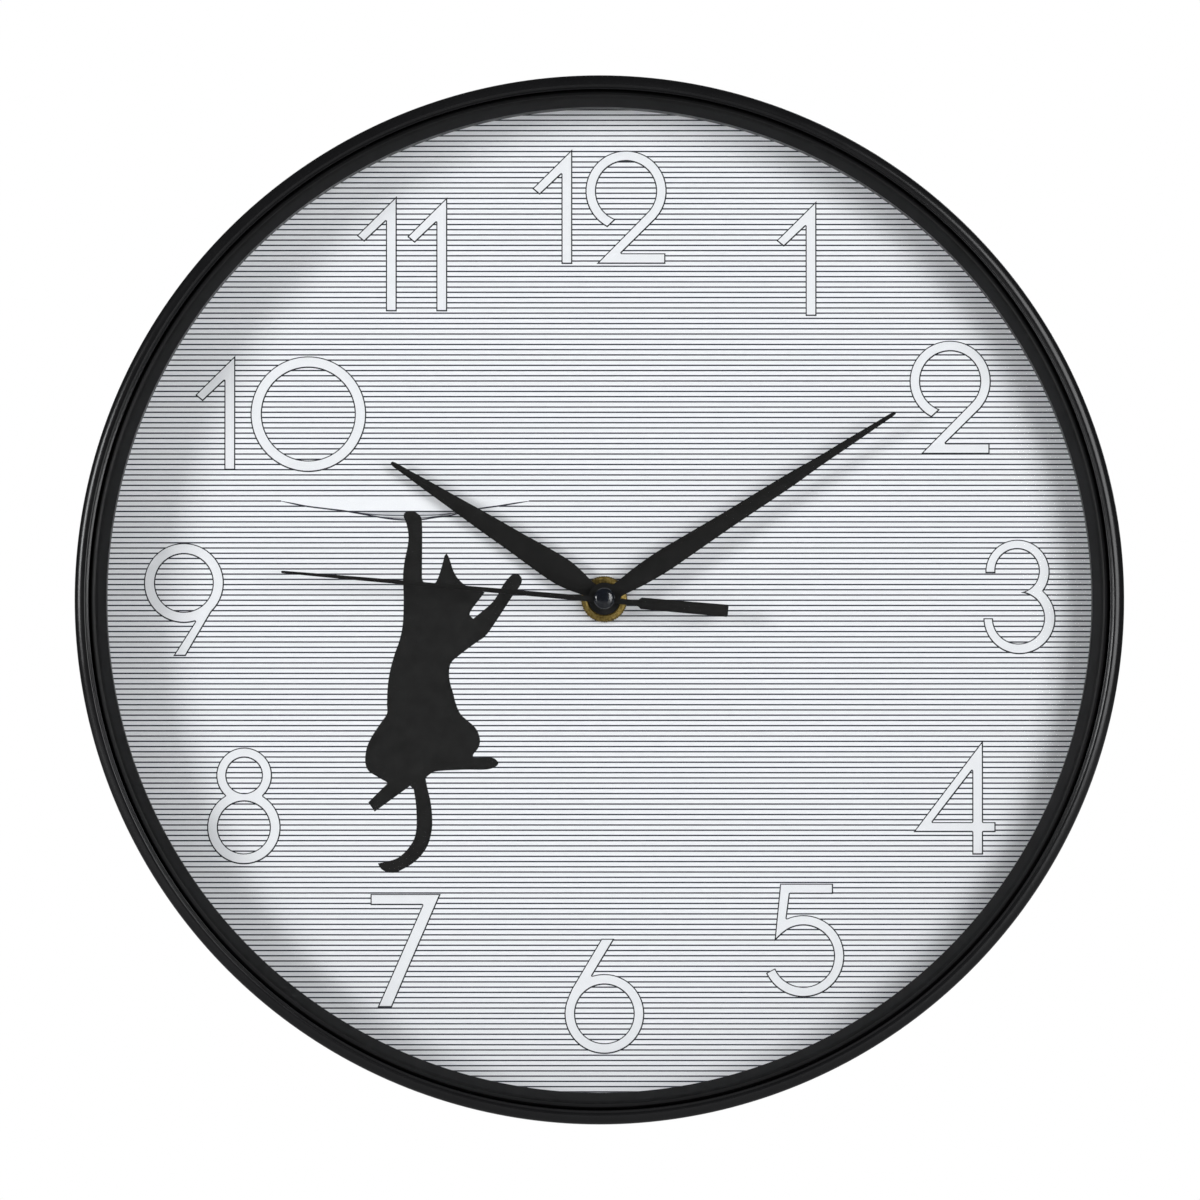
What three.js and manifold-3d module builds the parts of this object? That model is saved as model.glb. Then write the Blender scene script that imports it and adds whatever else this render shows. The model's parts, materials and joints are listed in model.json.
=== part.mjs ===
// Twelve-inch wall clock with a round black case, a dial printed as a sheet of
// fine stripes, three black hands and a battery quartz movement.
//
// Millimetres.  +Z is up, the dial looks along -Y, and the wall is the plane
// y = 0.  The origin is the seat of the nail in the keyhole of the hanger
// plate, so the centre of the round case lies HOOK_Z below it.
import * as THREE from 'three';
import { mergeVertices } from 'three/addons/utils/BufferGeometryUtils.js';
import Module from 'manifold-3d';

const wasm = await Module();
wasm.setup();

// ---------------------------------------------------------------- driving dimensions
const HOOK_Z = 118;          // nail seat above the centre of the case
const AXIS_X = 1.4, AXIS_Z = 0.4;   // hand axis from the case centre: the hole in the dial is punched a little off centre

const CASE_R = 150;          // outside radius at the outer bead
const CASE_FRONT_Y = -40.75; // sharp front edge of the case
const CASE_BORE_R = 146.0;   // bore that takes bezel, lens, spacer and dial board
const CASE_REAR_R = 144.9;   // inside of the wall behind the dial seat
const SEAT_Y = -17.7;        // front face of the dial seat
const SEAT_R = 138.5;        // inner edge of the dial seat
const SEGMENTS = 48;         // facets round the large rings

const LOAD_R = 145.7;        // outside radius of everything loaded in the bore
const BEZEL_R = 141.0;       // visible opening
const BEZEL_CREST_Y = -41.4;
const LENS_FRONT_Y = -36.2, LENS_T = 2.0;
const SPACER_R = 141.6;
const SHEET_FRONT_Y = -20.3, SHEET_T = 0.3;
const BOARD_FRONT_Y = -19.9, BOARD_T = 2.0;
const DIAL_HOLE_R = 5.1;

const COVER_R = 144.5, COVER_REAR_Y = -4.6, COVER_T = 2.0;
const COVER_WINDOW = 60;     // square window round the movement
const SCREW_CIRCLE_R = 141.2, SCREW_COUNT = 6, BOSS_R = 3.4;

const PLATE_REAR_Y = -3.5, PLATE_T = 1.0;      // hanger plate
const SLOT_HALF = 2.6, KEYHOLE_R = 5.2, KEYHOLE_Z = -13;

const MOVE_HALF = 28, MOVE_TOP = 26.5, MOVE_BOTTOM = -29.5;
const MOVE_FRONT_Y = -16.9, MOVE_BACK_Y = -4.3, MOVE_WALL = 1.2;
const BAY_TOP = -12.9;       // top of the battery bay
const BATTERY_R = 7.1, BATTERY_L = 50.4, BATTERY_Y = -8.6, BATTERY_Z = -20.6;

const NUT_R = 6.7, BUSH_R = 3.9;
const HUB_R = 4.6;           // round hub of the hour and minute hands
const HOUR_L = 72.8, MINUTE_L = 99.4, SECOND_L = 93.0, SECOND_TAIL = 35.7;
const HOUR_DEG = 302.6, MINUTE_DEG = 57.4, SECOND_DEG = 274.75; // clockwise from twelve

// gear train: teeth and modules
const M_SECOND = 0.36, M_THIRD = 0.34, M_FIFTH = 0.36, M_ROTOR = 0.30, M_CANNON = 0.54, M_HOUR = 0.5184;
const THIRD_ARBOR = at(12.24, 150);
const FIFTH_ARBOR = at(8.64, 60);
const ROTOR_ARBOR = [FIFTH_ARBOR[0] + 8.4 * Math.cos(rad(20)), FIFTH_ARBOR[1] + 8.4 * Math.sin(rad(20))];
const SET_ARBOR = [12.96, 0];

// ---------------------------------------------------------------- colours
const mat = (color, roughness, metalness = 0, extra = {}) =>
  new THREE.MeshStandardMaterial({ color, roughness, metalness, ...extra });
const GLOSS_BLACK = mat(0x161617, 0.18);
const SATIN_BLACK = mat(0x1c1c1d, 0.5);
const HAND_BLACK = mat(0x1d1c1b, 0.55);
const CAP_BLACK = mat(0x151618, 0.22);
const DIAL_WHITE = mat(0xecedef, 0.7);
const BOARD = mat(0x8a6b4a, 0.85);
const LENS_CLEAR = mat(0xeef3f5, 0.03, 0, { transparent: true, opacity: 0.15 });
const COVER_BLACK = mat(0x242426, 0.6);
const MOVE_BLACK = mat(0x1a1a1b, 0.45);
const NATURAL = mat(0xdedbd0, 0.45);
const BRASS = mat(0x9c8440, 0.35, 1);
const STEEL = mat(0xb4b6b8, 0.35, 1);
const SCREW_STEEL = mat(0x9da0a3, 0.3, 1);
const RUBBER = mat(0x151515, 0.9);
const COPPER = mat(0xb3592b, 0.35, 1);
const PCB_GREEN = mat(0x1e5a38, 0.5);
const CHIP = mat(0x101011, 0.4);
const MAGNET = mat(0x55565a, 0.4, 1);
const BATTERY = mat(0x2f5d8a, 0.35);

// ---------------------------------------------------------------- helpers
function rad(d) { return d * Math.PI / 180; }
function at(r, deg) { return [r * Math.cos(rad(deg)), r * Math.sin(rad(deg))]; }

function clean(geo) {
  const g = geo.clone();
  g.deleteAttribute('normal');
  g.deleteAttribute('uv');
  const m = mergeVertices(g, 1e-4);
  const p = m.attributes.position, idx = m.index.array, keep = [];
  let volume = 0;
  for (let i = 0; i < idx.length; i += 3) {
    const [a, b, c] = [idx[i], idx[i + 1], idx[i + 2]];
    if (a === b || b === c || a === c) continue;
    keep.push(a, b, c);
    volume += p.getX(a) * (p.getY(b) * p.getZ(c) - p.getZ(b) * p.getY(c))
      - p.getY(a) * (p.getX(b) * p.getZ(c) - p.getZ(b) * p.getX(c))
      + p.getZ(a) * (p.getX(b) * p.getY(c) - p.getY(b) * p.getX(c));
  }
  if (volume < 0) for (let i = 0; i < keep.length; i += 3) [keep[i + 1], keep[i + 2]] = [keep[i + 2], keep[i + 1]];
  m.setIndex(keep);
  m.computeVertexNormals();
  return m;
}

function toSolid(geo) {
  const g = clean(geo);
  return new wasm.Manifold(new wasm.Mesh({
    numProp: 3,
    vertProperties: new Float32Array(g.attributes.position.array),
    triVerts: new Uint32Array(g.index.array),
  }));
}

function toGeometry(solid) {
  const mesh = solid.getMesh();
  const g = new THREE.BufferGeometry();
  g.setAttribute('position', new THREE.BufferAttribute(new Float32Array(mesh.vertProperties), 3));
  g.setIndex(Array.from(mesh.triVerts));
  return clean(g);
}

function build(first, add = [], cut = []) {
  let s = toSolid(first);
  for (const g of add) s = s.add(toSolid(g));
  for (const g of cut) s = s.subtract(toSolid(g));
  return toGeometry(s);
}

// closed profile of [radius, y] points turned about the Y axis
function turned(points, segments = SEGMENTS) {
  const v = points.map(([r, y]) => new THREE.Vector2(r, y));
  if (points[0][0] > 0 || points[points.length - 1][0] > 0) v.push(v[0].clone());
  return clean(new THREE.LatheGeometry(v, segments));
}

// ring or disc between two radii and two depths
function tube(r0, r1, yFront, yBack, segments = 24) {
  return r0 > 0
    ? turned([[r0, yFront], [r1, yFront], [r1, yBack], [r0, yBack]], segments)
    : turned([[0, yFront], [r1, yFront], [r1, yBack], [0, yBack]], segments);
}

// flat outline in x and z, from yFront back to yBack
function plate(shape, yFront, yBack, curveSegments = 12) {
  const g = new THREE.ExtrudeGeometry(shape, { depth: yBack - yFront, bevelEnabled: false, curveSegments });
  g.rotateX(Math.PI / 2);
  g.translate(0, yBack, 0);
  return clean(g);
}

function outline(points) {
  const v = points.map(([x, z]) => new THREE.Vector2(x, z));
  if (THREE.ShapeUtils.area(v) < 0) v.reverse();
  return new THREE.Shape(v);
}

function roundRect(x0, x1, z0, z1, r) {
  const s = new THREE.Shape();
  s.moveTo(x0 + r, z0); s.lineTo(x1 - r, z0);
  s.absarc(x1 - r, z0 + r, r, -Math.PI / 2, 0);
  s.lineTo(x1, z1 - r); s.absarc(x1 - r, z1 - r, r, 0, Math.PI / 2);
  s.lineTo(x0 + r, z1); s.absarc(x0 + r, z1 - r, r, Math.PI / 2, Math.PI);
  s.lineTo(x0, z0 + r); s.absarc(x0 + r, z0 + r, r, Math.PI, 1.5 * Math.PI);
  return s;
}

function hole(shape, x, z, r, n = 12) {
  const p = [];
  for (let i = 0; i < n; i++) p.push(new THREE.Vector2(x + r * Math.cos(-2 * Math.PI * i / n), z + r * Math.sin(-2 * Math.PI * i / n)));
  shape.holes.push(new THREE.Path(p));
  return shape;
}

function box(x0, x1, y0, y1, z0, z1) {
  const g = new THREE.BoxGeometry(x1 - x0, y1 - y0, z1 - z0);
  g.translate((x0 + x1) / 2, (y0 + y1) / 2, (z0 + z1) / 2);
  return g;
}

// outline of a spur gear about (cx, cz).  A pinion has one tooth centred on the
// direction `deg`; a wheel (`gap` set) has one gap there and V-shaped gaps
function gear(teeth, module_, cx, cz, deg, gap = false) {
  const pitch = teeth * module_ / 2, tip = pitch + 0.78 * module_;
  const root = pitch - (gap ? 1.5 : 1.05) * module_;
  const step = Math.PI / teeth, start = rad(deg) + (gap ? step : 0), pts = [];
  const tooth = gap ? [[root, -1], [tip, -0.12], [tip, 0.12]] : [[root, -0.58], [tip, -0.15], [tip, 0.15], [root, 0.58]];
  for (let k = 0; k < teeth; k++) {
    const c = start + 2 * step * k;
    for (const [r, a] of tooth)
      pts.push([cx + r * Math.cos(c + a * step), cz + r * Math.sin(c + a * step)]);
  }
  return outline(pts);
}

const clock = new THREE.Group();
clock.position.z = -HOOK_Z;
const works = new THREE.Group();      // everything centred on the hand axis
works.position.set(AXIS_X, 0, AXIS_Z);
clock.add(works);

function put(parent, name, geometry, material) {
  const mesh = new THREE.Mesh(geometry, material);
  mesh.name = name;
  parent.add(mesh);
  return mesh;
}

// move a turned piece off its own axis
function shifted(geo, x, z) { const g = geo.clone(); g.translate(x, 0, z); return g; }

// ---------------------------------------------------------------- case
{
  const ring = turned([
    [CASE_BORE_R, CASE_FRONT_Y + 0.3], [146.3, CASE_FRONT_Y], [147.6, -40.7], [148.8, -40.35], [149.6, -39.8],
    [CASE_R, -38.6], [149.9, -34.8], [149.0, -29.2], [147.6, -1.0], [146.8, 0],
    [CASE_REAR_R, 0], [CASE_REAR_R, -15.7], [SEAT_R, -15.7], [SEAT_R, SEAT_Y],
    [CASE_BORE_R, SEAT_Y],
  ]);
  const bosses = [], holes = [];
  for (let i = 0; i < SCREW_COUNT; i++) {
    const [x, z] = at(SCREW_CIRCLE_R, 30 + 60 * i);
    bosses.push(shifted(tube(0, BOSS_R, -16.4, -6.8, 12), x, z));
    holes.push(shifted(tube(0, 1.4, -14.2, -5, 8), x, z));
  }
  put(clock, 'case_ring', build(ring, bosses, holes), GLOSS_BLACK);
}

put(clock, 'inner_bezel', turned([
  [BEZEL_R, -36.3], [BEZEL_R, -37.0], [143.4, -40.7], [144.3, BEZEL_CREST_Y],
  [145.2, -41.0], [LOAD_R, -39.9], [LOAD_R, -36.3],
]), SATIN_BLACK);

put(clock, 'lens', tube(0, LOAD_R, LENS_FRONT_Y, LENS_FRONT_Y + LENS_T, SEGMENTS), LENS_CLEAR);
put(clock, 'spacer_ring', tube(SPACER_R, LOAD_R, LENS_FRONT_Y + LENS_T + 0.1, SHEET_FRONT_Y - 0.1, SEGMENTS), SATIN_BLACK);
{
  const punch = shifted(tube(0, DIAL_HOLE_R, -22, -16, 24), AXIS_X, AXIS_Z);
  put(clock, 'dial_sheet', build(tube(0, LOAD_R - 0.2, SHEET_FRONT_Y, SHEET_FRONT_Y + SHEET_T, SEGMENTS), [], [punch]), DIAL_WHITE);
  put(clock, 'dial_board', build(tube(0, LOAD_R, BOARD_FRONT_Y, BOARD_FRONT_Y + BOARD_T, SEGMENTS), [], [punch]), BOARD);
}

// ---------------------------------------------------------------- rear cover and hanger
{
  const y0 = COVER_REAR_Y - COVER_T, y1 = COVER_REAR_Y, half = COVER_WINDOW / 2;
  const disc = turned([
    [0, y0], [COVER_R, y0], [COVER_R, y1], [80.5, y1], [79.9, y1 + 1.0], [78.1, y1 + 1.0], [77.5, y1], [0, y1],
  ]);
  const cuts = [plate(roundRect(AXIS_X - half, AXIS_X + half, -half - 1.5, half - 1.5, 4), y0 - 1, y1 + 2, 3)];
  cuts.push(plate(roundRect(-7.5, 7.5, HOOK_Z - 21, HOOK_Z + 3.5, 3), y0 - 1, y1 + 2, 3));
  for (let i = 0; i < SCREW_COUNT; i++) {
    const [x, z] = at(SCREW_CIRCLE_R, 30 + 60 * i);
    cuts.push(shifted(tube(0, 1.5, y0 - 1, y1 + 2, 8), x, z));
  }
  for (const s of [-1, 1]) cuts.push(shifted(tube(0, 1.5, y0 - 1, y1 + 2, 8), s * 11.5, HOOK_Z - 8));
  put(clock, 'rear_cover', build(disc, [], cuts), COVER_BLACK);

  const hanger = roundRect(-15.5, 15.5, HOOK_Z - 24, HOOK_Z + 8, 3);
  const key = [], zc = HOOK_Z + KEYHOLE_Z, zt = HOOK_Z - SLOT_HALF, a0 = Math.asin(SLOT_HALF / KEYHOLE_R);
  for (let i = 0; i <= 8; i++) { const a = Math.PI - Math.PI * i / 8; key.push(new THREE.Vector2(SLOT_HALF * Math.cos(a), zt + SLOT_HALF * Math.sin(a))); }
  for (let i = 0; i <= 14; i++) { const a = Math.PI / 2 - a0 - (2 * Math.PI - 2 * a0) * i / 14; key.push(new THREE.Vector2(KEYHOLE_R * Math.cos(a), zc + KEYHOLE_R * Math.sin(a))); }
  hanger.holes.push(new THREE.Path(key));
  for (const s of [-1, 1]) hole(hanger, s * 11.5, HOOK_Z - 8, 1.5, 10);
  put(clock, 'hanger_plate', plate(hanger, PLATE_REAR_Y - PLATE_T, PLATE_REAR_Y, 4), STEEL);
  ['left', 'right'].forEach((side, i) => {
    put(clock, `hanger_screw_${side}`, shifted(turned([
      [0, -9.4], [1.15, -8.4], [1.15, -3.4], [2.6, -3.4], [2.6, -2.7], [1.8, -2.1], [0, -1.9]], 8), (i ? 1 : -1) * 11.5, HOOK_Z - 8), SCREW_STEEL);
  });
  for (let i = 0; i < SCREW_COUNT; i++) {
    const [x, z] = at(SCREW_CIRCLE_R, 30 + 60 * i);
    put(clock, `cover_screw_${i + 1}`, shifted(turned([
      [0, -13.8], [1.05, -12.6], [1.05, -4.5], [2.8, -4.5], [2.8, -3.7], [1.9, -3.1], [0, -2.9]], 8), x, z), SCREW_STEEL);
  }
}

// ---------------------------------------------------------------- movement housing
{
  const w = MOVE_WALL, fy = MOVE_FRONT_Y, by = MOVE_BACK_Y, h = MOVE_HALF;
  const shell = plate(roundRect(-h, h, MOVE_BOTTOM, MOVE_TOP, 2.5), fy, by, 3);
  const upper = box(-h + w, h - w, fy + 1, by + 3, BAY_TOP + 0.9, MOVE_TOP - w);
  const bay = box(-h + w, h - w, fy + 1, by + 3, MOVE_BOTTOM + w, BAY_TOP);
  const throat = tube(0, 3.5, fy - 3, fy + 3, 24);
  // thumb notch in the lower wall, to lift the battery out
  const notch = box(-8, 8, -10.5, by + 3, MOVE_BOTTOM - 2, MOVE_BOTTOM + w + 0.5);
  put(works, 'movement_case', build(shell, [], [upper, bay, throat, notch]), MOVE_BLACK);

  const lid = hole(roundRect(-h, h, BAY_TOP + 0.05, MOVE_TOP, 2.5), SET_ARBOR[0], SET_ARBOR[1], 1.3, 12);
  const collar = shifted(tube(1.3, 6.2, -3.2, -2.5, 24), SET_ARBOR[0], SET_ARBOR[1]);
  put(works, 'movement_cover', build(plate(lid, -4.1, -3.0, 3), [collar]), MOVE_BLACK);
}

put(works, 'center_bush', turned([
  [2.8, -23.0], [BUSH_R - 0.3, -23.0], [BUSH_R, -22.7], [BUSH_R, -17.05], [3.2, -17.05], [3.2, -15.95], [2.8, -15.95]], 24), BRASS);
put(works, 'dial_nut', turned([
  [4.2, -22.2], [4.9, -22.8], [NUT_R - 0.4, -22.8], [NUT_R, -22.4], [NUT_R, -20.5], [4.2, -20.5]], 24), BRASS);
put(works, 'rubber_washer', tube(4.3, 9.5, -17.75, -17.05, 24), RUBBER);

// battery, its two contacts
{
  const half = BATTERY_L / 2;
  const cell = turned([
    [0, -half], [BATTERY_R - 1.0, -half], [BATTERY_R, -half + 0.5], [BATTERY_R, half - 1.9], [BATTERY_R - 0.7, half - 1.2],
    [2.7, half - 1.2], [2.6, half], [0, half]], 24);
  cell.rotateZ(-Math.PI / 2);
  cell.translate(0, BATTERY_Y, BATTERY_Z);
  put(works, 'battery', clean(cell), BATTERY);
  put(works, 'battery_contact_neg', build(box(-26.6, -26.2, -14.5, -4.6, -25.6, -15.6), [
    plate(outline([[-26.3, -22.8], [-25.45, -21.4], [-25.45, -19.8], [-26.3, -18.4]]), -12.0, -6.0)]), STEEL);
  put(works, 'battery_contact_pos', build(box(26.2, 26.6, -14.5, -4.6, -24.6, -16.6), [
    plate(outline([[26.3, -22.2], [25.5, -21.2], [25.5, -20.0], [26.3, -19.0]]), -10.5, -7.0)]), STEEL);
}

// ---------------------------------------------------------------- stepping motor and circuit
{
  const cz = 21.4, cy = -10.4;
  const lay = (g) => { g.rotateZ(-Math.PI / 2); g.translate(0, cy, cz); return clean(g); };
  put(works, 'coil_bobbin', lay(turned([
    [1.9, -13], [3.5, -13], [3.5, -12.2], [2.2, -12.2], [2.2, 12.2], [3.5, 12.2], [3.5, 13], [1.9, 13]], 16)), NATURAL);
  put(works, 'coil_winding', lay(tube(2.45, 3.3, -11.9, 11.9, 16)), COPPER);
  put(works, 'coil_core', box(-19.5, 19.5, -10.95, -9.9, cz - 1.2, cz + 1.2), STEEL);
  const iron = outline([[-20, 23], [-20, 12.5], [6.2, 12.5], [7.2, 8.2], [9.6, 5.8], [12.2, 5.0], [14.8, 5.8], [17.2, 8.2],
    [20.5, 12.5], [20.5, 23], [15.8, 23], [15.8, 16.1], [-15.8, 16.1], [-15.8, 23]]);
  hole(iron, ROTOR_ARBOR[0], ROTOR_ARBOR[1], 3.3, 20);
  put(works, 'stator', plate(iron, -9.7, -8.9), STEEL);
  put(works, 'circuit_board', box(-25.5, -15.5, -7.4, -6.6, -10, 14), PCB_GREEN);
  put(works, 'chip_blob', shifted(turned([[0, -5.5], [1.2, -5.6], [2.2, -6.0], [2.6, -6.5], [0, -6.5]], 12), -20.5, 1), CHIP);
  const can = tube(0, 1.0, -3, 3, 12);
  can.rotateX(Math.PI / 2); can.translate(-20.5, -5.45, 9);
  put(works, 'quartz_crystal', clean(can), STEEL);
}

// ---------------------------------------------------------------- plates of the train
{
  const mid = roundRect(-24, 25.5, -11.5, 14.5, 2);
  hole(mid, 0, 0, 4.4, 20);
  hole(mid, ...THIRD_ARBOR, 0.85, 8); hole(mid, ...ROTOR_ARBOR, 0.8, 8); hole(mid, ...SET_ARBOR, 1.2, 12);
  put(works, 'middle_plate', plate(mid, -13.1, -12.3, 3), NATURAL);
  const rear = roundRect(-13.8, 18, -5.5, 15, 2);
  for (const p of [[0, 0], THIRD_ARBOR, FIFTH_ARBOR, ROTOR_ARBOR]) hole(rear, p[0], p[1], 0.85, 8);
  hole(rear, ...SET_ARBOR, 1.2, 12);
  put(works, 'train_bridge', plate(rear, -6.8, -6.0, 3), NATURAL);
}

// ---------------------------------------------------------------- wheels
const TO_ROTOR = 20, TO_FIFTH = 60, TO_THIRD = 150, TO_SET = 0;   // directions between arbors, degrees

put(works, 'rotor_magnet', shifted(tube(0.85, 2.9, -10.6, -8.6, 16), ...ROTOR_ARBOR), MAGNET);
put(works, 'rotor_pinion', build(shifted(tube(0, 0.5, -12.9, -5.3, 10), ...ROTOR_ARBOR), [
  plate(gear(8, M_ROTOR, ...ROTOR_ARBOR, TO_ROTOR + 180), -8.4, -7.4)]), NATURAL);

put(works, 'fifth_wheel', build(shifted(tube(0, 0.5, -9.9, -5.3, 10), ...FIFTH_ARBOR), [
  plate(gear(48, M_ROTOR, ...FIFTH_ARBOR, TO_ROTOR, true), -8.2, -7.6),
  plate(gear(8, M_FIFTH, ...FIFTH_ARBOR, TO_FIFTH + 180), -9.7, -8.1)]), NATURAL);

put(works, 'second_wheel', build(tube(0, 0.5, -30.2, -5.3, 12), [
  plate(gear(40, M_FIFTH, 0, 0, TO_FIFTH, true), -9.5, -8.8),
  plate(gear(8, M_SECOND, 0, 0, TO_THIRD), -10.9, -9.4)]), NATURAL);

put(works, 'third_wheel', build(shifted(tube(0, 0.5, -12.9, -5.3, 10), ...THIRD_ARBOR), [
  plate(gear(60, M_SECOND, ...THIRD_ARBOR, TO_THIRD + 180, true), -10.7, -10.0),
  plate(gear(8, M_THIRD, ...THIRD_ARBOR, TO_THIRD + 180), -12.1, -10.6)]), NATURAL);

put(works, 'center_wheel', plate(hole(gear(64, M_THIRD, 0, 0, TO_THIRD, true), 0, 0, 1.9, 16), -11.9, -11.2), NATURAL);
put(works, 'minute_pipe', build(tube(0, 1.6, -28.3, -11.1, 16), [
  plate(gear(12, M_CANNON, 0, 0, TO_SET), -14.4, -13.4)], [tube(0, 0.85, -30, -9, 12)]), BRASS);

put(works, 'minute_wheel', build(plate(gear(36, M_CANNON, ...SET_ARBOR, TO_SET + 180, true), -14.3, -13.5), [
  plate(gear(10, M_HOUR, ...SET_ARBOR, TO_SET + 180), -15.7, -14.2)], [
  shifted(tube(0, 1.1, -17, -12, 12), ...SET_ARBOR)]), NATURAL);
put(works, 'setting_knob', build(shifted(tube(0, 0.8, -15.7, -2.0, 12), ...SET_ARBOR), [
  plate(gear(18, 0.52, ...SET_ARBOR, 0), -2.3, -0.6)]), SATIN_BLACK);

put(works, 'hour_wheel', build(tube(0, 2.5, -25.2, -14.8, 20), [
  plate(gear(40, M_HOUR, 0, 0, TO_SET, true), -15.6, -14.8)], [tube(0, 2.0, -27, -13, 20)]), NATURAL);

// ---------------------------------------------------------------- hands
// half-widths along the blade, measured from the axis, turned to `deg` clockwise from twelve
function blade(stations, hub, deg, boreR, boreN) {
  const c = Math.cos(rad(deg)), s = Math.sin(rad(deg));
  const turn = (u, v) => [u * c + v * s, -u * s + v * c];   // v along the blade, u to its right
  const pts = [];
  for (const [v, h] of stations) pts.push(turn(h, v));
  for (const [v, h] of [...stations].reverse()) pts.push(turn(-h, v));
  const v0 = stations[0][0], h0 = stations[0][1];
  const a0 = Math.atan2(v0, -h0), a1 = 2 * Math.PI + Math.atan2(v0, h0), n = 14;
  for (let i = 1; i < n; i++) { const a = a0 + (a1 - a0) * i / n; pts.push(turn(hub * Math.cos(a), hub * Math.sin(a))); }
  const sh = outline(pts);
  return hole(sh, 0, 0, boreR, boreN);
}

const HOUR_BLADE = [[4.0, 2.27], [6.0, 2.5], [9.5, 3.25], [13.5, 3.85], [17.2, 3.92], [23.8, 3.6], [30.3, 3.2], [44.3, 2.45], [60.7, 1.42], [72.2, 0.62], [HOUR_L, 0.3]];
const MINUTE_BLADE = [[4.1, 2.1], [6.5, 2.25], [11, 2.75], [16, 3.1], [20, 3.2], [26, 3.05], [32.6, 2.75], [51, 2.2], [74, 1.33], [98.8, 0.48], [MINUTE_L, 0.22]];

put(works, 'hour_hand', build(plate(blade(HOUR_BLADE, HUB_R, HOUR_DEG, 2.85, 20), -24.7, -24.2), [
  tube(2.85, 3.6, -24.3, -23.3, 20)]), HAND_BLACK);
put(works, 'minute_hand', build(plate(blade(MINUTE_BLADE, HUB_R, MINUTE_DEG, 1.95, 16), -27.7, -27.2), [
  tube(1.95, 2.8, -27.3, -25.6, 16)]), HAND_BLACK);

{
  const c = Math.cos(rad(SECOND_DEG)), s = Math.sin(rad(SECOND_DEG));
  const turn = ([u, v]) => [u * c + v * s, -u * s + v * c];
  const half = [[0.32, SECOND_L], [0.62, 3.2]];
  const tail = [[0.8, -3.2], [0.8, -9.6], [1.5, -10.6], [1.6, -SECOND_TAIL]];
  const right = [...half, ...arc(3.0, 75, -68), ...tail].map(turn);
  const left = [...tail.slice().reverse().map(([u, v]) => [-u, v]), ...arc(3.0, 248, 105), ...half.slice().reverse().map(([u, v]) => [-u, v])].map(turn);
  put(works, 'second_hand', plate(hole(outline([...right, ...left]), 0, 0, 0.85, 12), -30.3, -29.9), HAND_BLACK);
}
function arc(r, d0, d1) { const p = []; for (let i = 0; i <= 6; i++) p.push(at(r, d0 + (d1 - d0) * i / 6)); return p; }

put(works, 'second_hand_tube', tube(0.85, 1.35, -29.8, -28.7, 12), BRASS);
put(works, 'second_hand_cap', turned([
  [0, -32.3], [1.6, -32.15], [2.4, -31.9], [2.85, -31.55], [3.1, -30.8], [3.1, -30.4], [0, -30.4]], 20), CAP_BLACK);

export default clock;
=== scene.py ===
# Looks for the twelve-inch wall clock: every shape the eye can reach is rebuilt
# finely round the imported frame.  Lengths below are millimetres from the centre
# of the round case unless a name ends in _m.
import json
import math
import bpy
import bmesh
import numpy as np
from mathutils import Vector, Matrix
from mathutils.geometry import tessellate_polygon


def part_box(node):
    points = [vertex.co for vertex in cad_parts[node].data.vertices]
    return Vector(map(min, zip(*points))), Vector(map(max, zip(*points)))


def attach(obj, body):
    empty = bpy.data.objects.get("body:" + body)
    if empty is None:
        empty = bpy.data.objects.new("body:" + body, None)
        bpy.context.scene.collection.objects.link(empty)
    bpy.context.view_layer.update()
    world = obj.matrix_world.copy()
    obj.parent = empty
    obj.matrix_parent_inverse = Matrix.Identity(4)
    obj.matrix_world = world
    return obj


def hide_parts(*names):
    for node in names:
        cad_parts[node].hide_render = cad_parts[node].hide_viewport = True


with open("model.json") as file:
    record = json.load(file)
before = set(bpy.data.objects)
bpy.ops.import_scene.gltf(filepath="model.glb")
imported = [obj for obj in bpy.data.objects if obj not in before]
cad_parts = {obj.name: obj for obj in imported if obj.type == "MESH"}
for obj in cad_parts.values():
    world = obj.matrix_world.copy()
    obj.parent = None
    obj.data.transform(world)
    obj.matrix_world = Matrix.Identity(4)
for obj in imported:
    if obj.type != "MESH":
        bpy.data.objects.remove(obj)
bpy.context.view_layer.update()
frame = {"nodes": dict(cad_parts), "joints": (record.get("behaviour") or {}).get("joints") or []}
NODES = frame["nodes"]
JOINT = {j["name"]: j for j in frame["joints"]}

_lo, _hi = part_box("case_ring")
CX_M, CZ_M = (_lo.x + _hi.x) / 2, (_lo.z + _hi.z) / 2
_axis = JOINT["minute_hand_turn"]["pos_m"]
AX, AZ = (_axis[0] - CX_M) * 1000, (_axis[2] - CZ_M) * 1000
_knob = JOINT["setting_knob_turn"]["pos_m"]
KX, KZ = (_knob[0] - CX_M) * 1000, (_knob[2] - CZ_M) * 1000


def ybox(node):
    """Front and back of a node along y, in mm."""
    a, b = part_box(node)
    return a.y * 1000, b.y * 1000


# ------------------------------------------------------------------ node materials
def set_in(node, name, value):
    node.inputs[name].default_value = value


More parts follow.
